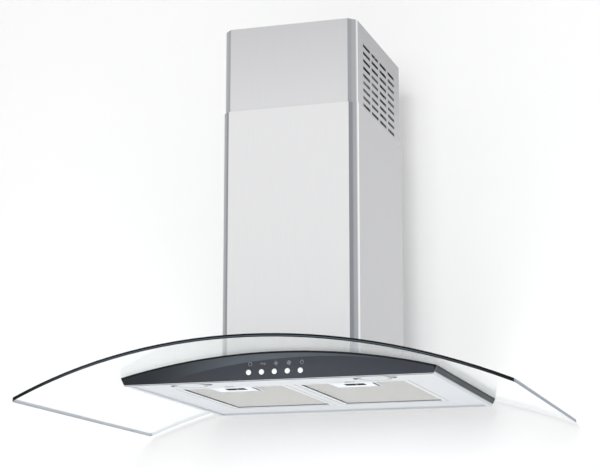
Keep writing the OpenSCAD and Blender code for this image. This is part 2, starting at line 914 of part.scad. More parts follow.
module scroll_housing() {
    hw = scroll_iw / 2;
    lid = box_top - sheet - wheel_z;
    color("dimgray") hung() difference() {
        union() {
            along_x(-hw - plastic_t, hw + plastic_t) {
                translate([wheel_y, wheel_z]) scroll_plan(plastic_t, lid);
            }
            // flange under the box's lid
            block(-hw - 10, outlet_y0 - 10, box_top - sheet - 3, hw + 10, outlet_y1 + 10,
                box_top - sheet);
        }
        along_x(-hw, hw) translate([wheel_y, wheel_z]) scroll_plan(0, lid + cut);
        translate([-hw - 2 * plastic_t, wheel_y, wheel_z]) rotate([0, 90, 0]) {
            cylinder(r = inlet_r, h = 2 * hw + 4 * plastic_t);
        }
    }
    // inlet lips that reach in towards the wheel
    color("dimgray") hung() for (s = [-1, 1]) {
        along_x(min(s * (hw - 3), s * (hw + plastic_t)), max(s * (hw - 3), s * (hw + plastic_t))) {
            translate([wheel_y, wheel_z]) difference() {
                circle(r = inlet_r + 0.5);
                circle(r = inlet_r - 1.5);
            }
        }
    }
}

module at_wheel() {
    translate([0, wheel_y, wheel_z]) rotate([0, 90, 0]) children();
}

// one blade: a thin crescent that leans forward across the ring, or the slot it needs
module blade_plan(grow = 0) {
    lean = blade_d * 1.5;
    t = blade_t / 2 + grow;
    intersection() {
        difference() {
            circle(r = wheel_r - 0.5 + grow);
            circle(r = wheel_r - blade_d + 0.5 - grow);
        }
        translate([wheel_r - blade_d / 2, lean]) difference() {
            circle(r = lean + t);
            circle(r = lean - t);
        }
        translate([0, -wheel_r / 2]) square([wheel_r + cut, wheel_r / 2 + blade_d]);
    }
}

module impeller_blades() {
    length = wheel_w - 2 * ring_t;
    color("gray") hung() at_wheel() for (i = [0 : blade_count - 1]) {
        rotate(360 / blade_count * i) translate([0, 0, -length / 2]) {
            linear_extrude(length) blade_plan();
        }
    }
}

// the wheel's two end rings, and the disc on its hub that carries the blades in slots
module impeller() {
    hub_r = 12;
    hub_l = 13;
    color("gray") hung() at_wheel() {
        for (z = [-wheel_w / 2, wheel_w / 2 - ring_t]) {
            translate([0, 0, z]) linear_extrude(ring_t) difference() {
                circle(r = wheel_r);
                circle(r = wheel_r - blade_d);
            }
        }
        translate([0, 0, -ring_t / 2]) linear_extrude(ring_t) difference() {
            circle(r = wheel_r);
            circle(r = shaft_r + shaft_fit);
            for (i = [0 : blade_count - 1]) {
                rotate(360 / blade_count * i) blade_plan(seat);
            }
            for (a = [30 : 60 : 330]) {
                rotate(a) translate([wheel_r / 2, 0]) circle(r = wheel_r / 7);
            }
        }
        translate([0, 0, -ring_t / 2]) linear_extrude(hub_l) difference() {
            circle(r = hub_r);
            circle(r = shaft_r + shaft_fit);
        }
    }
}

module motor() {
    color("gray") hung() translate([0, wheel_y, wheel_z]) rotate([0, 90, 0]) difference() {
        union() {
            translate([0, 0, motor_x0]) cylinder(r = motor_r, h = motor_l - 8);
            translate([0, 0, motor_x1 - 8]) cylinder(r1 = motor_r, r2 = motor_r - 12, h = 6);
            translate([0, 0, motor_x1 - 2.01]) cylinder(r = 11, h = 2.01);
            translate([0, 0, bracket_x]) cylinder(r = 18, h = motor_x0 - bracket_x + 1);
            for (a = [0 : 30 : 330]) {
                rotate(a) translate([motor_r - 1, -1.5, motor_x0 + 4]) {
                    cube([3, 3, motor_l - 18]);
                }
            }
        }
        translate([0, 0, motor_x0]) cylinder(r = shaft_r + pin_gap, h = motor_l + cut);
    }
}

module motor_bracket() {
    arm_r = inlet_r + 14;
    color("silver") hung() along_x(bracket_x - 2, bracket_x) translate([wheel_y, wheel_z]) {
        difference() {
            union() {
                circle(r = 28);
                for (a = [0, 120, 240]) {
                    rotate(a + 50) {
                        translate([0, -8]) square([arm_r - 8, 16]);
                        translate([arm_r - 8, 0]) circle(r = 8);
                    }
                }
            }
            for (a = [0, 120, 240]) {
                rotate(a + 50) translate([arm_r - 8, 0]) circle(r = 2.2);
            }
        }
    }
}

module motor_shaft() {
    color("silver") hung() at_wheel() translate([0, 0, motor_x0 + 3]) {
        cylinder(r = shaft_r, h = 14 - motor_x0);
    }
}

module capacitor() {
    r = 15;
    color("white") hung() translate([-box_w / 2 + 28, -90, box_top]) {
        cylinder(r = r, h = 52);
        translate([0, 0, 52 - 0.01]) cylinder(r = r - 5, h = 4);
        difference() {
            translate([-r - 2, -r - 6, 0]) cube([2 * r + 4, 2 * r + 12, 2]);
            translate([0, 0, -cut]) cylinder(r = r, h = 4);
        }
    }
}

module terminal_box() {
    color("black") hung() translate([0, -box_d / 2 + 20, box_top]) {
        cube([72, 56, 34]);
        translate([-2, -2, 34 - 0.01]) cube([76, 60, 3]);
        // cable gland, where the supply lead would enter
        translate([72, 28, 17]) rotate([0, 90, 0]) difference() {
            union() {
                cylinder(r = 11, h = 4, $fn = 6);
                cylinder(r = 8, h = 12);
            }
            translate([0, 0, -cut]) cylinder(r = 4, h = 12 + 2 * cut);
        }
    }
}

// ---- exhaust -------------------------------------------------------------

// the passage from the scroll's square outlet to the round collar, or its outside
module adapter(grow) {
    hull() {
        block(-scroll_iw / 2 - grow, outlet_y0 - grow, box_top, scroll_iw / 2 + grow,
            outlet_y1 + grow, box_top + 0.5);
        translate([0, collar_y, collar_z - 0.5]) {
            cylinder(r = collar_in_r - lip_w + grow, h = 0.5);
        }
    }
}

module exhaust_collar() {
    color("dimgray") hung() difference() {
        union() {
            adapter(2 * lip_w + plastic_t);
            block(-scroll_iw / 2 - 10, outlet_y0 - 10, box_top, scroll_iw / 2 + 10,
                outlet_y1 + 10, box_top + 3);
            translate([0, collar_y, collar_z - 1]) cylinder(r = collar_r, h = collar_l + 1);
        }
        adapter(0);
        block(-scroll_iw / 2, outlet_y0, box_top - cut, scroll_iw / 2, outlet_y1,
            box_top + 0.1);
        // the way through, over the lip that the flaps rest on
        translate([0, collar_y, collar_z - 1]) cylinder(r = collar_in_r - lip_w, h = 2);
        translate([0, collar_y, collar_z]) cylinder(r = collar_in_r, h = collar_l + cut);
        for (s = [-1, 1]) {
            along_x(-collar_r - cut, collar_r + cut) {
                translate([collar_y + s * flap_pivot, flap_z]) {
                    circle(r = flap_pin_r + pin_gap);
                }
            }
        }
    }
}

// half a disc that hangs on a pin next to the collar's middle line
module damper_flap(s) {
    color("lightgray") hung() {
        translate([0, collar_y, collar_z + flap_rest]) linear_extrude(flap_t) intersection() {
            circle(r = collar_in_r - flap_gap);
            rect(-collar_r, min(s * flap_pivot, s * collar_r), collar_r,
                max(s * flap_pivot, s * collar_r));
        }
        along_x(-collar_r + 0.3, collar_r - 0.3) {
            translate([collar_y + s * flap_pivot, flap_z]) circle(r = flap_pin_r);
        }
    }
}

// ---- ceiling frame -------------------------------------------------------

module ceiling_plate() {
    color("silver") hung() {
        translate([0, 0, plate_z]) linear_extrude(plate_t) difference() {
            inner_plan(upper_hw, upper_hd, bevel, sleeve_t + plate_gap);
            translate([0, collar_y]) circle(r = collar_r + duct_gap);
            for (sx = [-1, 1], sy = [-1, 1]) {
                translate([sx * bolt_dx / 2, sy * bolt_dy / 2]) circle(r = bolt_hole_r);
            }
        }
        // lip along the back, that the upper sleeve is screwed to
        difference() {
            block(-plate_hw, plate_hd - 2, plate_z - plate_lip, plate_hw, plate_hd,
                plate_z + cut);
            for (s = [-1, 1]) {
                translate([s * sleeve_screw_x, 0, plate_z - plate_lip / 2]) facing_back() {
                    cylinder(r = post_screw_r + 0.2, h = chimney_d);
                }
            }
        }
    }
}

// four angle sections about the centre, their outer faces at hw and hd
module post_ring(hw, hd, z0, z1) {
    for (sx = [-1, 1], sy = [-1, 1]) {
        mirror([sx < 0 ? 1 : 0, 0, 0]) mirror([0, sy < 0 ? 1 : 0, 0]) {
            block(hw - post_leg, hd - post_t, z0, hw, hd, z1);
            block(hw - post_t, hd - post_leg, z0, hw, hd, z1);
        }
    }
}

// a line of holes through the side legs of four posts
module post_holes(hd, z0, z1) {
    for (sy = [-1, 1], z = [z0 : post_hole_pitch : z1]) {
        translate([-box_w, sy * (hd - post_leg * 0.55), z]) rotate([0, 90, 0]) {
            cylinder(r = post_screw_r + 0.2, h = 2 * box_w);
        }
    }
}

module frame_posts_lower() {
    color("silver") hung() difference() {
        post_ring(box_w / 2 + post_t, box_d / 2 + post_t, box_z0 - 10, post_top);
        arch_solid(seat_r + seat, -box_d, box_d);
        post_holes(box_d / 2, post_hole_z0, post_top - 10);
    }
}

module frame_posts_upper() {
    color("silver") hung() {
        difference() {
            post_ring(box_w / 2, box_d / 2, box_top + 12, plate_z);
            post_holes(box_d / 2, post_hole_z0, plate_z - 20);
        }
        for (sx = [-1, 1], sy = [-1, 1]) {
            translate([
                sx * (box_w - post_leg) / 2, sy * (box_d - post_leg) / 2, plate_z - post_foot / 2
            ]) {
                cube([post_leg, post_leg, post_foot], center = true);
            }
        }
    }
}

// a belt of flat straps round the posts
module strap_ring(hw, hd, z) {
    for (s = [-1, 1]) {
        block(-hw, min(s * hd, s * (hd + post_t)), z, hw, max(s * hd, s * (hd + post_t)),
            z + brace_w);
        block(min(s * hw, s * (hw + post_t)), -hd, z, max(s * hw, s * (hw + post_t)), hd,
            z + brace_w);
    }
}

module frame_braces() {
    color("silver") hung() {
        strap_ring(box_w / 2 + post_t, box_d / 2 + post_t, post_top - brace_w);
        strap_ring(box_w / 2, box_d / 2, plate_z - 80);
    }
}

module frame_screws() {
    color("gray") hung() {
        for (sx = [-1, 1], sy = [-1, 1], z = [post_hole_z0, post_hole_z0 + post_hole_pitch]) {
            translate([
                sx * (box_w / 2 + post_t + seat), sy * (box_d / 2 - post_leg * 0.55), z
            ]) {
                rotate([0, sx * 90, 0]) {
                    cylinder(r = 2 * post_screw_r, h = 2.5);
                    translate([0, 0, -3 * post_t]) cylinder(r = post_screw_r, h = 3 * post_t + 1);
                }
            }
        }
    }
}

// ---- chimney -------------------------------------------------------------

module chimney_upper() {
    color("gainsboro") hung() difference() {
        translate([0, 0, upper_z0]) linear_extrude(ceiling_h - upper_z0) difference() {
            sleeve_plan(upper_hw, upper_hd, bevel);
            inner_plan(upper_hw, upper_hd, bevel, sleeve_t);
        }
        for (i = [0 : vent_rows - 1], j = [0 : vent_cols - 1], s = [-1, 1]) {
            translate([
                s * upper_hw, vent_y + (j - (vent_cols - 1) / 2) * vent_pitch,
                vent_z0 + i * vent_rise
            ]) {
                cube([4 * sleeve_t, vent_l, vent_h], center = true);
            }
        }
        for (s = [-1, 1]) {
            translate([s * sleeve_screw_x, 0, plate_z - plate_lip / 2]) facing_back() {
                cylinder(r = post_screw_r + 0.2, h = chimney_d);
            }
        }
    }
}

module chimney_lower() {
    color("whitesmoke") hung() difference() {
        linear_extrude(lower_top) difference() {
            sleeve_plan(lower_hw, lower_hd, bevel);
            inner_plan(lower_hw, lower_hd, bevel, sleeve_t);
        }
        arch_solid(glass_top_r + guide_gap, -chimney_d, chimney_d);
    }
}

module sleeve_guides() {
    z = upper_z0 + 6;
    color("white") hung() for (s = [-1, 1]) {
        block(min(s * upper_hw, s * (upper_hw + guide_t)), -15, z,
            max(s * upper_hw, s * (upper_hw + guide_t)), 15, z + 20);
        block(-15, min(s * upper_hd, s * (upper_hd + guide_t)), z,
            15, max(s * upper_hd, s * (upper_hd + guide_t)), z + 20);
    }
}

module chimney_screws() {
    color("silver") hung() for (s = [-1, 1]) {
        translate([s * sleeve_screw_x, upper_hd + seat, plate_z - plate_lip / 2]) {
            facing_back() {
                cylinder(r = 2 * post_screw_r, h = 1.8);
                translate([0, 0, -8]) cylinder(r = post_screw_r, h = 9);
            }
        }
    }
}

canopy_glass();
glass_gasket();
glass_screws();
body_shell();
fascia();
side_trim(-1);  // side_trim_left
side_trim(1);  // side_trim_right
rear_panel();
bottom_panel();
filter_frame(-1);  // filter_frame_left
filter_frame(1);  // filter_frame_right
filter_mesh(-1);  // filter_mesh_left
filter_mesh(1);  // filter_mesh_right
latch_plate(-1);  // latch_plate_left
latch_plate(1);  // latch_plate_right
latch_slider(-1);  // latch_slider_left
latch_slider(1);  // latch_slider_right
latch_spring(-1);  // latch_spring_left
latch_spring(1);  // latch_spring_right
filter_catch(-1);  // filter_catch_left
filter_catch(1);  // filter_catch_right
filter_hinge_brackets();
lamp_bezel(-1);  // lamp_bezel_left
lamp_bezel(1);  // lamp_bezel_right
lamp_lens(-1);  // lamp_lens_left
lamp_lens(1);  // lamp_lens_right
lamp_bulbs();
switch_block();
push_button(1);  // button_1
push_button(2);  // button_2
push_button(3);  // button_3
push_button(4);  // button_4
push_button(5);  // button_5
button_spring(1);  // button_spring_1
button_spring(2);  // button_spring_2
button_spring(3);  // button_spring_3
button_spring(4);  // button_spring_4
button_spring(5);  // button_spring_5
blower_box();
scroll_housing();
motor();
motor_bracket();
motor_shaft();
impeller();
impeller_blades();
capacitor();
terminal_box();
exhaust_collar();
damper_flap(-1);  // damper_flap_front
damper_flap(1);  // damper_flap_rear
ceiling_plate();
frame_posts_lower();
frame_posts_upper();
frame_braces();
frame_screws();
chimney_upper();
chimney_lower();
sleeve_guides();
chimney_screws();
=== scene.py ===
"""Looks for the island range hood: materials for every CAD node, the fine filter mesh, the
button icons, and the camera, lamps and backdrop. Metres, in the CAD frame."""

import math

import bmesh
import bpy
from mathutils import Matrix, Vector


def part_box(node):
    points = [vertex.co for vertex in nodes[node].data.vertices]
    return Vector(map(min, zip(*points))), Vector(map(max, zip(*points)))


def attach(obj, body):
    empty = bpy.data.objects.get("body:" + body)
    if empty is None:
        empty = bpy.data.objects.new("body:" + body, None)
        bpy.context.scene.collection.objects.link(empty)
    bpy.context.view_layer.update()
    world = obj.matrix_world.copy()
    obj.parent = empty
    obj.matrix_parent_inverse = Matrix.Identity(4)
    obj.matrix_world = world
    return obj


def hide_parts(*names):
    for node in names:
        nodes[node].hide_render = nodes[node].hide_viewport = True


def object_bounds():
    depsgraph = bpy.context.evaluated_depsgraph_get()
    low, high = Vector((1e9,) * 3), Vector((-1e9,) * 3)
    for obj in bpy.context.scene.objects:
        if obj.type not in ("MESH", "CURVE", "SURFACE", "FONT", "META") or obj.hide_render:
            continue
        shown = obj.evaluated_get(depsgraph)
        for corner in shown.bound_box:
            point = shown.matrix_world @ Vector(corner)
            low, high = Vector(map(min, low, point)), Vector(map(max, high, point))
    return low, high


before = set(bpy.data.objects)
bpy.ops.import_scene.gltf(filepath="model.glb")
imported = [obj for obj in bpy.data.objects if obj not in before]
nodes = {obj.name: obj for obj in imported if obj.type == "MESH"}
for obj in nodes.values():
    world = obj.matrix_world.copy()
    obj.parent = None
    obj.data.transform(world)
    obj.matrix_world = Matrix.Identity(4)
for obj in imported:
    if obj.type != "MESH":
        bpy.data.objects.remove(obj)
cad_lo, cad_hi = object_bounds()
mm = 0.001


def box(name):
    """The two corners of a CAD node's box at rest."""
    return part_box(name)


# ---- places, from the frame --------------------------------------------------------------

glass_hi = box("canopy_glass")[1]
fascia_lo, fascia_hi = box("fascia")
panel_lo, panel_hi = box("bottom_panel")
filters_lo, filters_hi = box("filter_frame_left")[0], box("filter_frame_right")[1]
lower_lo, lower_hi = box("chimney_lower")
upper_lo, upper_hi = box("chimney_upper")
FRONT_Y = fascia_lo.y
UNDERSIDE_Z = panel_lo.z
GLASS_T = 6 * mm
GLASS_BEND_R = 1200 * mm
BEND_Z = glass_hi.z - GLASS_T - GLASS_BEND_R
SEAT_R = fascia_hi.z - BEND_Z
BEVEL = 15 * mm
BUTTONS = sorted(name for name in nodes if name.startswith("button_")
                 and not name.startswith("button_spring"))


# ---- shader helpers ----------------------------------------------------------------------

# the part of 0 to 1 that a noise is taken to cover, where its contrast is strong or soft
STRONG = (0.3, 0.7)
SOFT = (0.35, 0.65)
WHITE = (1, 1, 1, 1)


class Nodes:
    """A short way to write the node tree of a material or a world."""

    def __init__(self, owner, output="ShaderNodeOutputMaterial"):
        owner.use_nodes = True
        self.tree = owner.node_tree
        self.tree.nodes.clear()
        self.out = self.add(output)

    def add(self, kind, **settings):
        node = self.tree.nodes.new(kind)
        for key, value in settings.items():
            setattr(node, key, value)
        return node

    def link(self, source, target):
        self.tree.links.new(source, target)

    def feed(self, socket, value):
        if isinstance(value, bpy.types.NodeSocket):
            self.link(value, socket)
        else:
            socket.default_value = value

    def math(self, operation, a, b=0.0):
        node = self.add("ShaderNodeMath", operation=operation)
        self.feed(node.inputs[0], a)
        self.feed(node.inputs[1], b)
        return node.outputs[0]

    def ramp(self, value, low, high, to_low=0.0, to_high=1.0, smooth=False):
        """Takes low to high over to to_low to to_high, and holds the value beyond them."""
        node = self.add("ShaderNodeMapRange", clamp=True)
        node.interpolation_type = "SMOOTHSTEP" if smooth else "LINEAR"
        self.feed(node.inputs["Value"], value)
        for key, number in (("From Min", low), ("From Max", high),
                            ("To Min", to_low), ("To Max", to_high)):
            self.feed(node.inputs[key], number)
        return node.outputs["Result"]

    def spread(self, noise, to_low=0.0, to_high=1.0, span=STRONG):
        """A noise stretched from the span it covers to the whole of to_low to to_high."""
        return self.ramp(noise, span[0], span[1], to_low, to_high)

    def place(self, scale=(1, 1, 1)):
        coords = self.add("ShaderNodeTexCoord")
        mapping = self.add("ShaderNodeMapping")
        mapping.inputs["Scale"].default_value = scale
        self.link(coords.outputs["Object"], mapping.inputs["Vector"])
        return mapping.outputs["Vector"]

    def axes(self):
        """The point in the piece's own axes, which at rest are those of the frame."""
        coords = self.add("ShaderNodeTexCoord")
        split = self.add("ShaderNodeSeparateXYZ")
        self.link(coords.outputs["Object"], split.inputs[0])
        return split.outputs["X"], split.outputs["Y"], split.outputs["Z"]

    def bend_radius(self):
        """How far the point is from the axis that the canopy is bent round."""
        x, _, z = self.axes()
        return self.length(x, self.math("SUBTRACT", z, BEND_Z))

    def normal_axes(self):
        """The face's direction in the piece's own axes, so that it turns with the piece."""
        geometry = self.add("ShaderNodeNewGeometry")
        own = self.add("ShaderNodeVectorTransform", vector_type="NORMAL",
                       convert_from="WORLD", convert_to="OBJECT")
        split = self.add("ShaderNodeSeparateXYZ")
        self.link(geometry.outputs["True Normal"], own.inputs[0])
        self.link(own.outputs[0], split.inputs[0])
        return split.outputs["X"], split.outputs["Y"], split.outputs["Z"]

    def noise(self, scale=(1, 1, 1), detail=3.0, rough=0.5):
        node = self.add("ShaderNodeTexNoise")
        node.inputs["Scale"].default_value = 1.0
        node.inputs["Detail"].default_value = detail
        node.inputs["Roughness"].default_value = rough
        self.link(self.place(scale), node.inputs["Vector"])
        return node.outputs["Fac"]

    def mix(self, share, a, b):
        node = self.add("ShaderNodeMix", data_type="RGBA")
        self.feed(node.inputs["Factor"], share)
        for socket, value in ((node.inputs["A"], a), (node.inputs["B"], b)):
            self.feed(socket, value)
        return node.outputs["Result"]

    def surface(self, colour, rough, metal=0.0, height=None, bump=0.0, bevel=0.0, **more):
        """The Principled shader, with a height for its bump and a rounding of its edges."""
        shader = self.add("ShaderNodeBsdfPrincipled")
        self.feed(shader.inputs["Base Color"], colour)
        self.feed(shader.inputs["Roughness"], rough)
        self.feed(shader.inputs["Metallic"], metal)
        for key, value in more.items():
            self.feed(shader.inputs[key.replace("_", " ")], value)
        normal = None
        if bevel:
            rounding = self.add("ShaderNodeBevel", samples=4)
            rounding.inputs["Radius"].default_value = bevel
            normal = rounding.outputs["Normal"]
        if height is not None:
            relief = self.add("ShaderNodeBump")
            relief.inputs["Strength"].default_value = 1.0
            relief.inputs["Distance"].default_value = bump
            self.link(height, relief.inputs["Height"])
            if normal is not None:
                self.link(normal, relief.inputs["Normal"])
            normal = relief.outputs["Normal"]
        if normal is not None:
            self.link(normal, shader.inputs["Normal"])
        self.show(shader.outputs[0])
        return shader

    def show(self, shader):
        self.link(shader, self.out.inputs["Surface"])

    def blend(self, share, first, second):
        """The first shader where share is 0, the second where it is 1."""
        node = self.add("ShaderNodeMixShader")
        self.feed(node.inputs[0], share)
        self.link(first, node.inputs[1])
        self.link(second, node.inputs[2])
        return node.outputs[0]

    def within(self, value, low, high):
        """1 where low < value < high, else 0."""
        return self.math("MULTIPLY", self.math("GREATER_THAN", value, low),
                         self.math("LESS_THAN", value, high))

    def length(self, a, b):
        """How far the point (a, b) lies from (0, 0)."""
        squares = self.math("ADD", self.math("MULTIPLY", a, a), self.math("MULTIPLY", b, b))
        return self.math("SQRT", squares)

    def all_of(self, *masks):
        """1 where every mask is 1."""
        found = masks[0]
        for mask in masks[1:]:
            found = self.math("MULTIPLY", found, mask)
        return found


def material(name):
    """A new material and the node tree to fill."""
    made = bpy.data.materials.new(name)
    return made, Nodes(made)


def rgb(r, g, b):
    """A colour written as 0 to 255 sRGB values."""
    def linear(v):
        v /= 255
        return v / 12.92 if v <= 0.04045 else ((v + 0.055) / 1.055) ** 2.4
    return (linear(r), linear(g), linear(b), 1.0)


def shade(colour, share):
    """A colour made darker or lighter."""
    return (colour[0] * share, colour[1] * share, colour[2] * share, 1.0)


# ---- materials ---------------------------------------------------------------------------

# noise scales: across and along the grain of brushed metal, the peel of sprayed paint, and
# the fine scratches of aluminium, which run along Y
GRAIN = 1 / (0.5 * mm)
RUN = 1 / 0.09
PEEL = (420, 420, 420)
SCRATCHES = (900, 120, 900)


def grain_scale(along):
    """The noise scale of metal that is brushed along one axis."""
    return tuple(RUN if axis == along else GRAIN for axis in "xyz")


def brushed_steel(name, colour, along, rough=0.34, metal=0.85, bevel=0.6 * mm):
    """Steel brushed along one axis."""
    made, n = material(name)
    lines = n.noise(grain_scale(along), detail=4.0, rough=0.6)
    cloud = n.noise((7, 7, 4), detail=2.0)
    tone = n.mix(n.spread(lines), shade(colour, 0.94), shade(colour, 1.05))
    tone = n.mix(n.spread(cloud, 0.0, 0.35, SOFT), tone, shade(colour, 0.95))
    n.surface(tone, n.spread(lines, rough - 0.05, rough + 0.06), metal,
              height=lines, bump=0.015 * mm, bevel=bevel)
    return made


# a face counts as a side above SIDE_ON and as a bevel above BEVEL_ON, by its direction's X
SIDE_ON = 0.9
BEVEL_ON = 0.5
# where across a bevel, from 0 at the front fold to 1 at the side, its painted reflection tones
# change over
TO_MIDDLE = (0.34, 0.5)
TO_BRIGHT = (0.79, 0.83)
# how far the painted highlight line at the side fold reaches, in X and each way in Y
FOLD_X = 1.2 * mm
FOLD_Y = 1.4 * mm


def chimney_steel(name, box_lo, box_hi, front, side, bevel_reflection_tones):
    """A vertically brushed sleeve. front and side are its colours at the bottom and the top, with
    painted shade: the side faces darker than the front, and mostly darker towards the top.
    The bevels carry a painted reflection, from dark at the front fold to mid grey, with a painted
    highlight band and a painted highlight line at the side fold.
    The inside of the sheet is dull and pale."""
    made, n = material(name)
    lines = n.noise(grain_scale("z"), detail=4.0, rough=0.6)
    x, y, z = n.axes()
    nx, ny, _ = n.normal_axes()
    facing = n.math("ABSOLUTE", nx)
    # painted shade: side faces take darker tones than the front, and the tones darken towards the
    # top
    rise = n.ramp(z, box_lo.z, box_hi.z)
    front_tone = n.mix(rise, front[0], front[1])
    shaded_side_tone = n.mix(rise, side[0], side[1])
    tone = n.mix(n.math("GREATER_THAN", facing, SIDE_ON), front_tone, shaded_side_tone)
    across = n.ramp(n.math("ABSOLUTE", x), box_hi.x - BEVEL, box_hi.x)
    # painted reflection on the bevels: dark at the front fold, then mid grey, then a painted
    # highlight band near the side
    bevel_reflection_tone = n.mix(n.ramp(across, *TO_MIDDLE), bevel_reflection_tones[0], bevel_reflection_tones[1])
    bevel_reflection_tone = n.mix(n.ramp(across, *TO_BRIGHT), bevel_reflection_tone, bevel_reflection_tones[2])
    tone = n.mix(n.within(facing, BEVEL_ON, SIDE_ON), tone, bevel_reflection_tone)
    # painted highlight: a near-white line along the side fold
    fold_y = n.math("ABSOLUTE", n.math("SUBTRACT", y, box_lo.y + BEVEL))
    fold = n.all_of(n.math("GREATER_THAN", n.math("ABSOLUTE", x), box_hi.x - FOLD_X),
                    n.math("LESS_THAN", fold_y, FOLD_Y))
    tone = n.mix(fold, tone, rgb(252, 252, 252))
    tone = n.mix(n.spread(lines, 0.0, 0.10), tone, rgb(168, 169, 172))
    outward = n.math("ADD", n.math("MULTIPLY", x, nx), n.math("MULTIPLY", y, ny))
    inside = n.math("LESS_THAN", outward, 0.0)
    tone = n.mix(inside, tone, rgb(240, 240, 241))
    rough = n.spread(lines, 0.36, 0.46)
    rough = n.math("ADD", rough, n.math("MULTIPLY", inside, 0.4))
    metal = n.ramp(inside, 0.0, 1.0, 0.5, 0.0)
    n.surface(tone, rough, metal, height=lines, bump=0.010 * mm)
    return made


def galvanised(name):
    """Zinc-coated sheet with its spangle."""
    made, n = material(name)
    cells = n.add("ShaderNodeTexVoronoi", feature="F1")
    cells.inputs["Scale"].default_value = 90.0
    n.link(n.place(), cells.inputs["Vector"])
    grey = n.add("ShaderNodeSeparateColor")
    n.link(cells.outputs["Color"], grey.inputs[0])
    tone = n.mix(grey.outputs[0], rgb(150, 153, 157), rgb(182, 185, 189))
    n.surface(tone, n.ramp(grey.outputs[0], 0.0, 1.0, 0.35, 0.55), 0.8,
              height=n.noise((300, 300, 300)), bump=0.02 * mm, bevel=0.4 * mm)
    return made


def satin_paint(name, colour, rough=0.38, metal=0.0, bevel=0.7 * mm):
    """Sprayed paint with a faint orange peel."""
    made, n = material(name)
    peel = n.noise(PEEL, detail=2.0)
    cloud = n.noise((9, 9, 9), detail=2.0)
    tone = n.mix(n.spread(cloud), shade(colour, 0.97), shade(colour, 1.03))
    n.surface(tone, n.spread(cloud, rough - 0.04, rough + 0.05), metal,
              height=peel, bump=0.012 * mm, bevel=bevel)
    return made


def moulded(name, colour, rough=0.5, bevel=0.5 * mm):
    """Moulded plastic or rubber with a fine grain."""
    made, n = material(name)
    grain = n.noise((1400, 1400, 1400), detail=3.0, rough=0.6)
    tone = n.mix(n.spread(grain), shade(colour, 0.9), shade(colour, 1.1))
    n.surface(tone, n.spread(grain, rough - 0.08, rough + 0.08),
              height=grain, bump=0.03 * mm, bevel=bevel)
    return made


# a face of the glass is an edge where its direction's Z is under EDGE_LEVEL, and a side edge
# where its X is over EDGE_ASIDE
EDGE_LEVEL = 0.6
EDGE_ASIDE = 0.7
# the painted highlight line in the front edge: its height in the glass, how far above and below
# that it is gone and full, at what X it is faint and full, and what is left of it where it is
# faint
LINE_DEPTH = 0.38
LINE_FADE = (0.22, 0.08)
LINE_ENDS = (0.42, 0.30)
LINE_LEFT = 0.15
# how deep the rear edge is that is painted pale as painted light, and where the side edges'
# painted shade goes from darker to paler
REAR_EDGE = 8 * mm
SIDE_SHADE = (0.25, 0.7)
# how much white sheen the glass has, from seen square on to seen edge on
SHEEN_LEAST = 0.01
SHEEN_GROWTH = 0.70
SHEEN_POWER = 4.0


def canopy_glass_look(name):
    """Clear glass whose ground edges carry painted shade and light: near black in front with a
    painted highlight line, bluish grey at the sides and darker low down, and pale along the rear.
    """
    made, n = material(name)
    x, y, _ = n.axes()
    nx, _, nz = n.normal_axes()
    edge = n.math("LESS_THAN", n.math("ABSOLUTE", nz), EDGE_LEVEL)
    at_side = n.math("GREATER_THAN", n.math("ABSOLUTE", nx), EDGE_ASIDE)
    # where in its thickness the glass is, from 0 below to 1 above
    depth = n.ramp(n.bend_radius(), GLASS_BEND_R, GLASS_BEND_R + GLASS_T)
    # painted highlight: a bluish line along the middle of the front edge, fainter towards its ends
    middle = n.math("ABSOLUTE", n.math("SUBTRACT", depth, LINE_DEPTH))
    edge_highlight = n.math("MULTIPLY", n.ramp(middle, *LINE_FADE),
                  n.ramp(n.math("ABSOLUTE", x), *LINE_ENDS, LINE_LEFT, 1.0))
    # painted shade: the front edge near black; the rear edge painted pale as painted light
    dark = n.mix(edge_highlight, rgb(5, 6, 7), rgb(72, 82, 92))
    dark = n.mix(n.math("GREATER_THAN", y, glass_hi.y - REAR_EDGE), dark, rgb(226, 231, 234))
    # painted shade on the side edges, darker towards the bottom of the glass
    pale = n.mix(n.ramp(depth, *SIDE_SHADE), rgb(128, 136, 150), rgb(168, 178, 190))
    streak = n.noise((60, 60, 60), detail=2.0)
    pale = n.mix(n.spread(streak, 0.0, 0.25), pale, rgb(150, 160, 172))
    rim_tone = n.mix(at_side, dark, pale)
    rim = n.surface(rim_tone, n.spread(streak, 0.3, 0.4), Specular_IOR_Level=0.12)
    haze = n.noise((5, 5, 5), detail=2.0)
    through = n.add("ShaderNodeBsdfTransparent")
    n.link(n.mix(n.spread(haze, span=SOFT), rgb(253, 254, 254), rgb(251, 253, 253)),
           through.inputs["Color"])
    # a white sheen that grows where the glass is seen edge on
    sheen = n.surface(n.mix(n.spread(haze, span=SOFT), rgb(252, 252, 252), rgb(246, 247, 247)),
                      0.08, Specular_IOR_Level=0.3)
    graze = n.add("ShaderNodeLayerWeight")
    graze.inputs["Blend"].default_value = 0.5
    edge_on = n.math("POWER", graze.outputs["Facing"], SHEEN_POWER)
    share = n.math("ADD", SHEEN_LEAST, n.math("MULTIPLY", SHEEN_GROWTH, edge_on))
    clear = n.blend(share, through.outputs[0], sheen.outputs[0])
    n.show(n.blend(edge, clear, rim.outputs[0]))
    return made


def under_seat(n, far, near):
    """0 where the point is far below the face that the glass rests on, 1 where it is near."""
    return n.ramp(n.bend_radius(), SEAT_R - far, SEAT_R - near)


# the painted reflection band's lower edge is an arch: its middle, its curve, its height and its
# softness
BAND_X = 0.06
BAND_CURVE = -0.49
BAND_RISE = 40 * mm
BAND_SOFT = (-0.5 * mm, 0.6 * mm)
# between which X the fascia's colours turn; the first number of BAND_LEFT is a distance from
# the fascia's left end
BAND_LEFT = (0.03, -0.02)
BAND_RIGHT = (0.04, 0.26)
BODY_MIDDLE = 0.02
# how far from each end of the fascia its black line begins and is full
END_LINE = (5 * mm, 3.5 * mm)


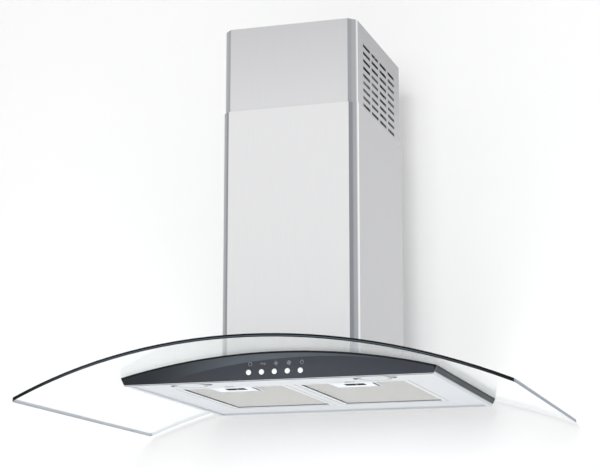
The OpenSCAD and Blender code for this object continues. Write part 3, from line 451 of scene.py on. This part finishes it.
def fascia_look(name):
    """Back-painted dark glass, with a paler painted reflection band that dies out towards both
    ends and a black line along its arched top edge."""
    made, n = material(name)
    x, _, z = n.axes()
    # the painted reflection band's lower edge is a flatter arch than the top edge of the glass
    off = n.math("SUBTRACT", x, BAND_X)
    arch = n.math("MULTIPLY", n.math("MULTIPLY", off, off), BAND_CURVE)
    over = n.math("SUBTRACT", n.math("SUBTRACT", z, UNDERSIDE_Z + BAND_RISE), arch)
    band = n.ramp(over, *BAND_SOFT)
    body = n.mix(n.ramp(x, fascia_lo.x, BODY_MIDDLE), rgb(50, 52, 56), rgb(68, 70, 78))
    body = n.mix(n.ramp(x, BODY_MIDDLE, fascia_hi.x), body, rgb(60, 63, 71))
    # painted reflection: a paler bluish band along the top, dying out towards both ends
    reflection_tone = n.mix(n.ramp(x, fascia_lo.x + BAND_LEFT[0], BAND_LEFT[1], smooth=True),
                  rgb(38, 41, 46), rgb(92, 99, 106))
    reflection_tone = n.mix(n.ramp(x, *BAND_RIGHT), reflection_tone, rgb(66, 71, 80))
    tone = n.mix(band, body, reflection_tone)
    haze = n.noise((20, 20, 60), detail=2.0)
    tone = n.mix(n.spread(haze, 0.0, 0.10, SOFT), tone, rgb(64, 67, 75))
    line = under_seat(n, 1.7 * mm, 1.2 * mm)
    end = n.ramp(n.math("ABSOLUTE", x), fascia_hi.x - END_LINE[0], fascia_hi.x - END_LINE[1])
    tone = n.mix(n.math("MAXIMUM", line, end), tone, rgb(12, 13, 14))
    n.surface(tone, n.spread(haze, 0.12, 0.18), 0.0, bevel=0.4 * mm,
              Specular_IOR_Level=0.2)
    return made


# how far above the trim's lower edge its painted highlight is gone and full
HIGHLIGHT_FADE = (1.6 * mm, 0.9 * mm)


def trim_look(name):
    """Slate enamel with a black line along its top and a painted highlight along its lower edge.
    """
    made, n = material(name)
    _, _, z = n.axes()
    lo, _ = box("side_trim_right")
    haze = n.noise((60, 12, 60), detail=2.0)
    tone = n.mix(under_seat(n, 9 * mm, 3 * mm), rgb(42, 45, 53), rgb(54, 60, 68))
    tone = n.mix(n.spread(haze, 0.0, 0.2, SOFT), tone, rgb(48, 53, 60))
    line = under_seat(n, 2.0 * mm, 1.5 * mm)
    tone = n.mix(line, tone, rgb(10, 11, 12))
    # painted highlight: a pale bluish line along the lower edge
    tone = n.mix(n.ramp(z, lo.z + HIGHLIGHT_FADE[0], lo.z + HIGHLIGHT_FADE[1]), tone, rgb(160, 168, 176))
    n.surface(tone, n.spread(haze, 0.3, 0.38), 0.0, bevel=0.3 * mm,
              Specular_IOR_Level=0.05)
    return made


def aluminium(name, colour, metal):
    """Aluminium with fine scratches along Y."""
    made, n = material(name)
    scratch = n.noise(SCRATCHES, detail=4.0, rough=0.65)
    tone = n.mix(n.spread(scratch), shade(colour, 0.9), shade(colour, 1.06))
    n.surface(tone, n.spread(scratch, 0.28, 0.42), metal, height=scratch,
              bump=0.02 * mm, bevel=0.5 * mm)
    return made


# a face counts as upright below this, by its direction's Z
UPRIGHT = 0.3
# the width of the rim of a filter's frame, whose outside isn't in shade, and how far its rear
# bar reaches from its rear edge
RIM_W = 2 * mm
REAR_BAR = 30 * mm


def filter_frame_look(name, frame_node):
    """Pale satin aluminium; the upright faces round the mesh lie in shade."""
    made, n = material(name)
    lo, hi = box(frame_node)
    x, y, _ = n.axes()
    _, _, nz = n.normal_axes()
    scratch = n.noise(SCRATCHES, detail=4.0, rough=0.65)
    tone = n.mix(n.spread(scratch), rgb(206, 210, 213), rgb(222, 226, 229))
    inner = n.all_of(n.math("LESS_THAN", n.math("ABSOLUTE", nz), UPRIGHT),
                     n.within(x, lo.x + RIM_W, hi.x - RIM_W),
                     n.within(y, lo.y + RIM_W, hi.y - RIM_W))
    wall = n.mix(n.math("GREATER_THAN", y, hi.y - REAR_BAR), rgb(74, 76, 79),
                 rgb(136, 138, 141))
    tone = n.mix(inner, tone, wall)
    n.surface(tone, n.spread(scratch, 0.3, 0.44), 0.3, height=scratch, bump=0.02 * mm)
    return made


def zinc(name):
    """Bright zinc plating, as on screws and springs."""
    made, n = material(name)
    cloud = n.noise((260, 260, 260), detail=3.0)
    tone = n.mix(cloud, rgb(168, 170, 176), rgb(204, 205, 208))
    n.surface(tone, n.spread(cloud, 0.2, 0.34), 1.0, bevel=0.2 * mm)
    return made


def button_look(name):
    """Glossy white caps."""
    made, n = material(name)
    cloud = n.noise((200, 200, 200), detail=2.0)
    tone = n.mix(cloud, rgb(248, 250, 252), rgb(254, 254, 254))
    n.surface(tone, n.spread(cloud, 0.16, 0.24), 0.0, bevel=0.4 * mm,
              Coat_Weight=0.5, Coat_Roughness=0.05)
    return made


def frosted(name):
    """Frosted glass of the lamps."""
    made, n = material(name)
    grain = n.noise((900, 900, 900), detail=3.0)
    tone = n.mix(grain, rgb(226, 231, 235), rgb(242, 244, 246))
    n.surface(tone, n.spread(grain, 0.3, 0.45), 0.0, height=grain, bump=0.05 * mm,
              IOR=1.45, Transmission_Weight=0.35)
    return made


# how far round the filters the walls of their openings lie, beside and in front, and behind;
# and how high the dark foot of the panel's front edge is
WALL_ASIDE = 2.5 * mm
WALL_BEHIND = 3.5 * mm
FOOT_H = 0.9 * mm
# how near an edge of the filters or of the panel a face still belongs to it
NEAR = 1 * mm


def panel_look(name):
    """Satin silver paint of the underside, a little deeper in tone towards the back. The
    upright edges of the hem and round the openings lie in shade."""
    made, n = material(name)
    peel = n.noise(PEEL, detail=2.0)
    x, y, z = n.axes()
    _, _, nz = n.normal_axes()
    tone = n.mix(n.ramp(y, panel_lo.y, panel_hi.y), rgb(211, 215, 219), rgb(205, 209, 214))
    cloud = n.noise((12, 12, 12), detail=2.0)
    tone = n.mix(n.spread(cloud, 0.0, 0.4, SOFT), tone, rgb(209, 213, 217))
    upright = n.math("LESS_THAN", n.math("ABSOLUTE", nz), UPRIGHT)
    inner = n.all_of(upright,
                     n.within(x, filters_lo.x - WALL_ASIDE, filters_hi.x + WALL_ASIDE),
                     n.within(y, filters_lo.y - WALL_ASIDE, filters_hi.y + WALL_BEHIND))
    wall = n.mix(n.math("GREATER_THAN", y, filters_hi.y - NEAR), rgb(74, 76, 80),
                 rgb(142, 145, 149))
    tone = n.mix(inner, tone, wall)
    foot = n.all_of(upright, n.math("LESS_THAN", y, panel_lo.y + NEAR),
                    n.math("LESS_THAN", z, panel_lo.z + FOOT_H))
    tone = n.mix(foot, tone, rgb(96, 99, 104))
    n.surface(tone, n.spread(cloud, 0.34, 0.42), 0.3, height=peel, bump=0.01 * mm)
    return made


# the recess of a latch plate, painted near black as painted shade: half its width, its depth, and
# where it starts
RECESS_HW = 19.2 * mm
RECESS_D = 7.6 * mm
RECESS_L = 24.2 * mm
RECESS_Y = 11 * mm
# its slot, painted dark as painted shade, from the plate's right end, and from its front and rear
# edges
SLOT_RIGHT = (7 * mm, 2 * mm)
SLOT_FRONT = 6 * mm
SLOT_REAR = 2 * mm


def latch_look(name, plate):
    """White satin plate whose recess and a slot near its right end are painted near black as
    painted shade.
    """
    made, n = material(name)
    lo, hi = box(plate)
    x, y, z = n.axes()
    middle = (lo.x + hi.x) / 2
    pocket_y = lo.y + RECESS_Y
    recess = n.all_of(n.within(x, middle - RECESS_HW, middle + RECESS_HW),
                      n.within(y, pocket_y - 0.2 * mm, pocket_y + RECESS_L),
                      n.math("GREATER_THAN", z, lo.z + 0.02 * mm),
                      n.math("LESS_THAN", z, lo.z + RECESS_D))
    end_slot = n.all_of(n.within(x, hi.x - SLOT_RIGHT[0], hi.x - SLOT_RIGHT[1]),
                        n.within(y, lo.y + SLOT_FRONT, hi.y - SLOT_REAR),
                        n.math("LESS_THAN", n.normal_axes()[2], -0.5))
    cloud = n.noise((40, 40, 40), detail=2.0)
    tone = n.mix(n.spread(cloud), rgb(220, 225, 232), rgb(228, 232, 238))
    # painted shade: the recess and the slot are painted near black
    tone = n.mix(n.math("MAXIMUM", recess, end_slot), tone, rgb(20, 21, 22))
    peel = n.noise(PEEL, detail=2.0)
    n.surface(tone, n.spread(cloud, 0.4, 0.5), 0.0, height=peel, bump=0.01 * mm,
              Specular_IOR_Level=0.08)
    return made


# a lamp's rim: where its screws sit, and the widths of its outlines and of their recesses, which
# are painted shade
BEZEL_SCREW_IN = 5 * mm
BEZEL_LINE = 3.4 * mm
SCREW_LINE = (2.4 * mm, 3.6 * mm)
CROSS_HW = 0.35 * mm
CROSS_REACH = 1.7 * mm


def bezel_look(name, bezel):
    """Bright pressed ring with painted shade: darker upright faces, a grey outline, and two screws
    with painted outlines and painted cross recesses.
    """
    made, n = material(name)
    lo, hi = box(bezel)
    x, y, z = n.axes()
    off_x = n.math("ABSOLUTE", n.math("SUBTRACT", x, (lo.x + hi.x) / 2))
    dx = n.math("ABSOLUTE", n.math("SUBTRACT", off_x, (hi.x - lo.x) / 2 - BEZEL_SCREW_IN))
    dy = n.math("ABSOLUTE", n.math("SUBTRACT", y, (lo.y + hi.y) / 2))
    reach = n.length(off_x, dy)
    ring_r = (hi.y - lo.y) / 2
    outline = n.within(reach, ring_r - BEZEL_LINE, ring_r + 0.2 * mm)
    screw_ring_shade = n.within(n.length(dx, dy), *SCREW_LINE)
    near, far = n.math("MINIMUM", dx, dy), n.math("MAXIMUM", dx, dy)
    cross = n.all_of(n.math("LESS_THAN", near, CROSS_HW),
                     n.math("LESS_THAN", far, CROSS_REACH),
                     n.math("LESS_THAN", z, lo.z + 0.05 * mm))
    spin = n.noise((240, 240, 240), detail=3.0)
    tone = n.mix(n.spread(spin), rgb(186, 190, 195), rgb(204, 208, 213))
    _, _, nz = n.normal_axes()
    # painted shade: upright faces darker, then a grey line round the outer edge, rings round the
    # screws and their cross recesses
    tone = n.mix(n.ramp(n.math("ABSOLUTE", nz), 0.8, 0.4), tone, rgb(112, 116, 121))
    tone = n.mix(outline, tone, rgb(146, 150, 156))
    tone = n.mix(screw_ring_shade, tone, rgb(172, 176, 182))
    tone = n.mix(cross, tone, rgb(164, 168, 174))
    n.surface(tone, n.spread(spin, 0.26, 0.36), 0.45, bevel=0.4 * mm)
    return made


def pad_look(name):
    """Layers of fine expanded foil seen through the front sheet."""
    made, n = material(name)
    cells = n.add("ShaderNodeTexVoronoi", feature="DISTANCE_TO_EDGE")
    cells.inputs["Scale"].default_value = 1.0
    n.link(n.place((260, 430, 260)), cells.inputs["Vector"])
    strand = n.ramp(cells.outputs["Distance"], 0.04, 0.14, 1.0, 0.0)
    tone = n.mix(strand, rgb(236, 236, 234), rgb(250, 250, 248))
    n.surface(tone, n.ramp(strand, 0.0, 1.0, 0.6, 0.4), 0.0, height=strand, bump=0.2 * mm)
    return made


def pale_ink(name):
    """Printed pale grey ink."""
    made, n = material(name)
    cloud = n.noise((800, 800, 800), detail=2.0)
    tone = n.mix(cloud, rgb(138, 141, 147), rgb(152, 156, 162))
    n.surface(tone, n.spread(cloud, 0.4, 0.5))
    return made


LOOKS = {
    "glass": canopy_glass_look("clear_canopy_glass"),
    "fascia": fascia_look("back_painted_glass"),
    "trim": trim_look("slate_trim"),
    # the sleeves' side tones, and their darkening towards the top, are painted shade; their bevel
    # tones are a painted reflection
    "lower": chimney_steel("brushed_steel_lower", lower_lo, lower_hi,
                           front=(rgb(225, 225, 226), rgb(225, 225, 226)),
                           side=(rgb(212, 212, 214), rgb(202, 202, 204)),
                           bevel_reflection_tones=(rgb(136, 138, 143), rgb(168, 170, 175),
                                        rgb(230, 231, 233))),
    "upper": chimney_steel("brushed_steel_upper", upper_lo, upper_hi,
                           front=(rgb(224, 224, 225), rgb(198, 198, 200)),
                           side=(rgb(210, 210, 212), rgb(176, 176, 179)),
                           bevel_reflection_tones=(rgb(158, 159, 163), rgb(170, 171, 175),
                                        rgb(196, 197, 200))),
    "steel": brushed_steel("brushed_steel_body", rgb(205, 206, 209), along="x"),
    "bezel_left": bezel_look("lamp_bezel_steel_left", "lamp_bezel_left"),
    "bezel_right": bezel_look("lamp_bezel_steel_right", "lamp_bezel_right"),
    "panel": panel_look("underside_paint"),
    "galvanised": galvanised("galvanised_sheet"),
    "frame_left": filter_frame_look("filter_aluminium_left", "filter_frame_left"),
    "frame_right": filter_frame_look("filter_aluminium_right", "filter_frame_right"),
    "mesh": aluminium("mesh_aluminium", rgb(246, 246, 244), metal=0.0),
    "pad": pad_look("filter_pad"),
    "white": satin_paint("guide_white", rgb(226, 231, 238), rough=0.35),
    "latch_left": latch_look("latch_white_left", "latch_plate_left"),
    "latch_right": latch_look("latch_white_right", "latch_plate_right"),
    "capacitor": moulded("capacitor_white", rgb(214, 214, 208)),
    "black": moulded("black_plastic", rgb(26, 27, 29)),
    "grey": moulded("grey_plastic", rgb(88, 91, 95)),
    "rubber": moulded("black_rubber", rgb(18, 18, 19), rough=0.7),
    "motor": satin_paint("motor_grey", rgb(96, 99, 103), rough=0.45, metal=0.4),
    "zinc": zinc("zinc_plate"),
    "button": button_look("button_white"),
    "frosted": frosted("frosted_glass"),
    "ink": pale_ink("icon_ink"),
}

NODE_LOOKS = {
    "glass": ["canopy_glass"],
    "fascia": ["fascia"],
    "trim": ["side_trim_left", "side_trim_right"],
    "lower": ["chimney_lower"],
    "upper": ["chimney_upper"],
    "steel": ["body_shell", "rear_panel"],
    "bezel_left": ["lamp_bezel_left"],
    "bezel_right": ["lamp_bezel_right"],
    "panel": ["bottom_panel"],
    "galvanised": ["blower_box", "motor_bracket", "ceiling_plate", "frame_posts_lower",
                   "frame_posts_upper", "frame_braces", "filter_hinge_brackets",
                   "filter_catch_left", "filter_catch_right"],
    "frame_left": ["filter_frame_left"],
    "frame_right": ["filter_frame_right"],
    "mesh": ["filter_mesh_left", "filter_mesh_right"],
    "white": ["sleeve_guides"],
    "latch_left": ["latch_plate_left"],
    "latch_right": ["latch_plate_right"],
    "capacitor": ["capacitor"],
    "black": ["switch_block", "terminal_box", "latch_slider_left", "latch_slider_right"],
    "grey": ["scroll_housing", "impeller", "impeller_blades", "exhaust_collar",
             "damper_flap_front", "damper_flap_rear"],
    "rubber": ["glass_gasket"],
    "motor": ["motor"],
    "zinc": ["glass_screws", "motor_shaft", "frame_screws", "chimney_screws",
             "latch_spring_left", "latch_spring_right"]
            + [name.replace("button_", "button_spring_") for name in BUTTONS],
    "button": BUTTONS,
    "frosted": ["lamp_lens_left", "lamp_lens_right", "lamp_bulbs"],
}


def wear(piece, look):
    """Puts a look in every material slot of a piece."""
    if not piece.material_slots:
        piece.data.materials.append(look)
    for slot in piece.material_slots:
        slot.material = look


for look, names in NODE_LOOKS.items():
    for name in names:
        wear(nodes[name], LOOKS[look])


# ---- made pieces -------------------------------------------------------------------------


def piece(name, mesh, look, body, slot):
    """Puts a made mesh in the scene, with its look, and on a body. slot is not used."""
    made = bpy.data.objects.new(name, mesh)
    bpy.context.scene.collection.objects.link(made)
    wear(made, LOOKS[look])
    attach(made, body)
    return made


def ribbon(points, width, closed):
    """The two edges of a flat ribbon along a line of points, as lists of 2-D points."""
    count = len(points)
    left, right = [], []
    for i, at in enumerate(points):
        before = points[i - 1] if closed or i > 0 else at
        after = points[(i + 1) % count] if closed or i < count - 1 else at
        arrive, leave = (at - before).normalized(), (after - at).normalized()
        if i == 0 and not closed:
            arrive = leave
        if i == count - 1 and not closed:
            leave = arrive
        across = Vector((-(arrive + leave).y, (arrive + leave).x)).normalized()
        reach = width / 2 / max(0.5, abs(across.dot(Vector((-leave.y, leave.x)))))
        left.append(at + across * reach)
        right.append(at - across * reach)
    return left, right


def add_strip(verts, faces, corners, closed):
    """A closed bar whose cross-sections are the rows of corners, four points to a row."""
    base, count = len(verts), len(corners)
    for row in corners:
        verts.extend(row)
    for i in range(count if closed else count - 1):
        a, b = base + 4 * i, base + 4 * ((i + 1) % count)
        for k in range(4):
            faces.append((a + k, a + (k + 1) % 4, b + (k + 1) % 4, b + k))
    if not closed:
        end = base + 4 * (count - 1)
        faces.append((base + 3, base + 2, base + 1, base))
        faces.append((end, end + 1, end + 2, end + 3))


def finish_mesh(name, verts, faces):
    """A mesh whose faces all look outward."""
    mesh = bpy.data.meshes.new(name)
    mesh.from_pydata(verts, [], faces)
    work = bmesh.new()
    work.from_mesh(mesh)
    bmesh.ops.recalc_face_normals(work, faces=work.faces)
    work.to_mesh(mesh)
    work.free()
    mesh.update()
    return mesh


# ---- fine expanded sheet and pad of each filter ------------------------------------------

CELL = 6 * mm
ROW = 1.8 * mm
STRAND = 1.1 * mm
STRAND_T = 0.28 * mm
TILT = 0.45 * mm
SHEET_Z = 0.15 * mm
PAD_Z = 1.15 * mm
# how far apart the middles of two strands are where they meet, in strand widths
MEETING = 0.55
# how far the sheet's window lies inside the latch plate, and how far in front of it it opens
WINDOW_INSET = 1.5 * mm
WINDOW_FRONT = 4 * mm


def expanded_mesh(name, lo, hi, window_lo, window_hi):
    """Zigzag strands side by side, which meet at their bends, round the latch's window."""
    verts, faces = [], []
    columns = int((hi.x - lo.x) / (CELL / 2))
    step = (hi.x - lo.x) / columns
    rows = int((hi.y - lo.y - STRAND) / ROW)
    swing = (ROW - MEETING * STRAND) / 2
    for j in range(rows):
        y = lo.y + (j + 0.5) * (hi.y - lo.y) / rows
        in_window = window_lo.y < y < window_hi.y
        run = []
        runs = [run]
        for i in range(columns + 1):
            x = lo.x + i * step
            if in_window and window_lo.x < x < window_hi.x:
                if run:
                    run = []
                    runs.append(run)
                continue
            run.append(Vector((x, y + (swing if (i + j) % 2 else -swing))))
        for run in runs:
            if len(run) < 2:
                continue
            left, right = ribbon(run, STRAND, False)
            z = lo.z + SHEET_Z
            corners = [[(a.x, a.y, z + TILT), (b.x, b.y, z),
                        (b.x, b.y, z + STRAND_T), (a.x, a.y, z + TILT + STRAND_T)]
                       for a, b in zip(left, right)]
            add_strip(verts, faces, corners, False)
    return finish_mesh(name, verts, faces)


def pad_mesh(name, lo, hi, window_lo, window_hi):
    """A flat pad with a notch for the latch in its front edge."""
    outline = [(lo.x, lo.y), (window_lo.x, lo.y), (window_lo.x, window_hi.y),
               (window_hi.x, window_hi.y), (window_hi.x, lo.y), (hi.x, lo.y),
               (hi.x, hi.y), (lo.x, hi.y)]
    count = len(outline)
    low, high = lo.z + PAD_Z, hi.z
    verts = [(x, y, low) for x, y in outline] + [(x, y, high) for x, y in outline]
    faces = [tuple(range(count))[::-1], tuple(range(count, 2 * count))]
    faces += [(i, (i + 1) % count, count + (i + 1) % count, count + i) for i in range(count)]
    return finish_mesh(name, verts, faces)


for side in ("left", "right"):
    mesh_lo, mesh_hi = box(f"filter_mesh_{side}")
    plate_lo, plate_hi = box(f"latch_plate_{side}")
    body = f"filter_{side}"
    inset = Vector((WINDOW_INSET, WINDOW_INSET, 0))
    sheet = piece(f"expanded_sheet_{side}",
                  expanded_mesh(f"expanded_sheet_{side}", mesh_lo, mesh_hi,
                                plate_lo - Vector((0, WINDOW_FRONT, 0)) + inset, plate_hi - inset),
                  "mesh", body, "filter_aluminium")
    pad = piece(f"filter_pad_{side}",
                pad_mesh(f"filter_pad_{side}", mesh_lo, mesh_hi, plate_lo, plate_hi),
                "pad", body, "filter_aluminium")
    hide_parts(f"filter_mesh_{side}")
    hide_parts(f"filter_mesh_{side}")


# ---- icons over the buttons --------------------------------------------------------------

ICON_RISE = 14.5 * mm
ICON_ASIDE = 2.8 * mm
ICON_R = 3.3 * mm
INK_W = 0.62 * mm
INK_OUT = 0.10 * mm
INK_IN = 0.03 * mm
RING_POINTS = 28
PETAL_POINTS = 20
# a fan blade, as shares of its length: where it begins, half its reach and half its lean
PETAL_START = 0.22
PETAL_REACH = 0.39
PETAL_LEAN = 0.12


def ring(radius):
    """A circle as a closed line of points."""
    turns = [math.radians(360 * i / RING_POINTS) for i in range(RING_POINTS)]
    return [Vector((radius * math.cos(a), radius * math.sin(a))) for a in turns], True


def petal(turn, length, width):
    """The outline of one fan blade, which leans as it leaves the middle."""
    points = []
    for i in range(PETAL_POINTS):
        t = 2 * math.pi * i / PETAL_POINTS
        along = PETAL_START * length + PETAL_REACH * length * (1 - math.cos(t))
        aside = width / 2 * math.sin(t) + PETAL_LEAN * length * (1 - math.cos(t))
        c, s = math.cos(math.radians(turn)), math.sin(math.radians(turn))
        points.append(Vector((along * c - aside * s, along * s + aside * c)))
    return points, True


ICONS = [
    [ring(ICON_R)],
    [petal(turn, ICON_R * 1.3, ICON_R * 0.7) for turn in (-20, 160)],
    [petal(turn, ICON_R * 1.1, ICON_R * 0.75) for turn in (0, 90, 180, 270)],
    [petal(turn, ICON_R * 0.8, ICON_R * 0.5) for turn in (0, 90, 180, 270)]
    + [ring(ICON_R * 1.05)],
    [ring(ICON_R * 0.9),
     ([Vector((0.35 * ICON_R, 0.2 * ICON_R)), Vector((0.35 * ICON_R, 1.35 * ICON_R))], False)],
]

for icon, button in zip(ICONS, BUTTONS):
    low, high = box(button)
    across, up = (low.x + high.x) / 2 + ICON_ASIDE, (low.z + high.z) / 2 + ICON_RISE
    verts, faces = [], []
    for points, closed in icon:
        left, right = ribbon(points, INK_W, closed)
        front, back = FRONT_Y - INK_OUT, FRONT_Y + INK_IN
        corners = [[(across + a.x, front, up + a.y), (across + b.x, front, up + b.y),
                    (across + b.x, back, up + b.y), (across + a.x, back, up + a.y)]
                   for a, b in zip(left, right)]
        add_strip(verts, faces, corners, closed)
    name = button.replace("button", "icon")
    piece(name, finish_mesh(name, verts, faces), "ink", "hood", "dark_glass")


# ---- camera ------------------------------------------------------------------------------

SENSOR = 36.0
LENS = 106.2
YAW = math.radians(17.42)
PITCH = math.radians(12.1)
CAMERA_X = 0.9713
CAMERA_BACK = 2.9453
CAMERA_Z = -1.0888

camera_data = bpy.data.cameras.new("camera")
camera = bpy.data.objects.new("camera", camera_data)
bpy.context.scene.collection.objects.link(camera)
bpy.context.scene.camera = camera
camera_data.sensor_width = SENSOR
camera_data.lens = LENS
camera.location = (CAMERA_X, FRONT_Y - CAMERA_BACK, CAMERA_Z)
look_along = Vector((-math.sin(YAW) * math.cos(PITCH), math.cos(YAW) * math.cos(PITCH),
                     math.sin(PITCH)))
camera.rotation_mode = "QUATERNION"
camera.rotation_quaternion = look_along.to_track_quat("-Z", "Y")


# ---- backdrop, floor, lamps --------------------------------------------------------------

WALL_Y = cad_hi.y + 0.03
FLOOR_Z = cad_lo.z - 1.3
REACH = 9.0
WALL_GLOW = 0.02
WALL_COLOUR = (0.97, 0.97, 0.97, 1.0)
KEY_SPOT = (0.32, FRONT_Y - 3.06, -0.1)
KEY_SIZE = 1.0
KEY_WATTS = 47.0
LOW_SPOT = (0.0, FRONT_Y - 0.06, FLOOR_Z + 0.05)
LOW_SIZE = 1.2
LOW_WATTS = 9.0
SKY_LIGHT = 0.62


def seen_directly(n):
    """Whether the camera sees the point itself, and whether in a reflection or by refraction."""
    path = n.add("ShaderNodeLightPath")
    mirror = n.math("MAXIMUM", path.outputs["Is Glossy Ray"], path.outputs["Is Transmission Ray"])
    return path.outputs["Is Camera Ray"], mirror


def stage_look(name):
    """White where the lamps reach it, greyer in the object's shadow, and clear from behind."""
    made, n = material(name)
    camera_ray, mirror = seen_directly(n)
    diffuse = n.add("ShaderNodeBsdfDiffuse")
    diffuse.inputs["Color"].default_value = WALL_COLOUR
    light = n.add("ShaderNodeEmission")
    light.inputs["Color"].default_value = WHITE
    n.link(n.math("MULTIPLY", camera_ray, WALL_GLOW), light.inputs["Strength"])
    lit = n.add("ShaderNodeAddShader")
    n.link(diffuse.outputs[0], lit.inputs[0])
    n.link(light.outputs[0], lit.inputs[1])
    white = n.add("ShaderNodeEmission")
    white.inputs["Color"].default_value = WHITE
    front = n.blend(mirror, lit.outputs[0], white.outputs[0])
    behind = n.add("ShaderNodeNewGeometry").outputs["Backfacing"]
    n.show(n.blend(behind, front, n.add("ShaderNodeBsdfTransparent").outputs[0]))
    return made


def plane(name, corners, look):
    """One flat piece of the stage."""
    mesh = bpy.data.meshes.new(name)
    mesh.from_pydata(corners, [], [(0, 1, 2, 3)])
    made = bpy.data.objects.new(name, mesh)
    bpy.context.scene.collection.objects.link(made)
    made.data.materials.append(look)


plane("backdrop", [(-REACH, WALL_Y, FLOOR_Z), (REACH, WALL_Y, FLOOR_Z), (REACH, WALL_Y, REACH),
                   (-REACH, WALL_Y, REACH)],
      stage_look("backdrop_white"))
plane("floor", [(-REACH, -REACH, FLOOR_Z), (REACH, -REACH, FLOOR_Z), (REACH, REACH, FLOOR_Z),
                (-REACH, REACH, FLOOR_Z)],
      stage_look("floor_white"))


def lamp(name, spot, aim, size, watts):
    """A square area lamp that doesn't show in reflections."""
    data = bpy.data.lights.new(name, "AREA")
    data.size = size
    data.energy = watts
    made = bpy.data.objects.new(name, data)
    bpy.context.scene.collection.objects.link(made)
    made.location = spot
    made.rotation_mode = "QUATERNION"
    made.rotation_quaternion = (Vector(aim) - Vector(spot)).to_track_quat("-Z", "Y")
    made.visible_glossy = False


lamp("key_lamp", KEY_SPOT, (cad_lo + cad_hi) / 2, KEY_SIZE, KEY_WATTS)
lamp("low_lamp", LOW_SPOT, (0.0, 0.0, UNDERSIDE_Z), LOW_SIZE, LOW_WATTS)

# the world is white where it is seen, and gives less light than that
world = bpy.data.worlds.new("studio")
bpy.context.scene.world = world
sky = Nodes(world, "ShaderNodeOutputWorld")
camera_ray, mirror = seen_directly(sky)
background = sky.add("ShaderNodeBackground")
background.inputs["Color"].default_value = WHITE
sky.link(sky.ramp(sky.math("MAXIMUM", camera_ray, mirror), 0.0, 1.0, SKY_LIGHT, 1.0),
         background.inputs["Strength"])
sky.show(background.outputs[0])

bpy.context.scene.view_settings.view_transform = "Standard"
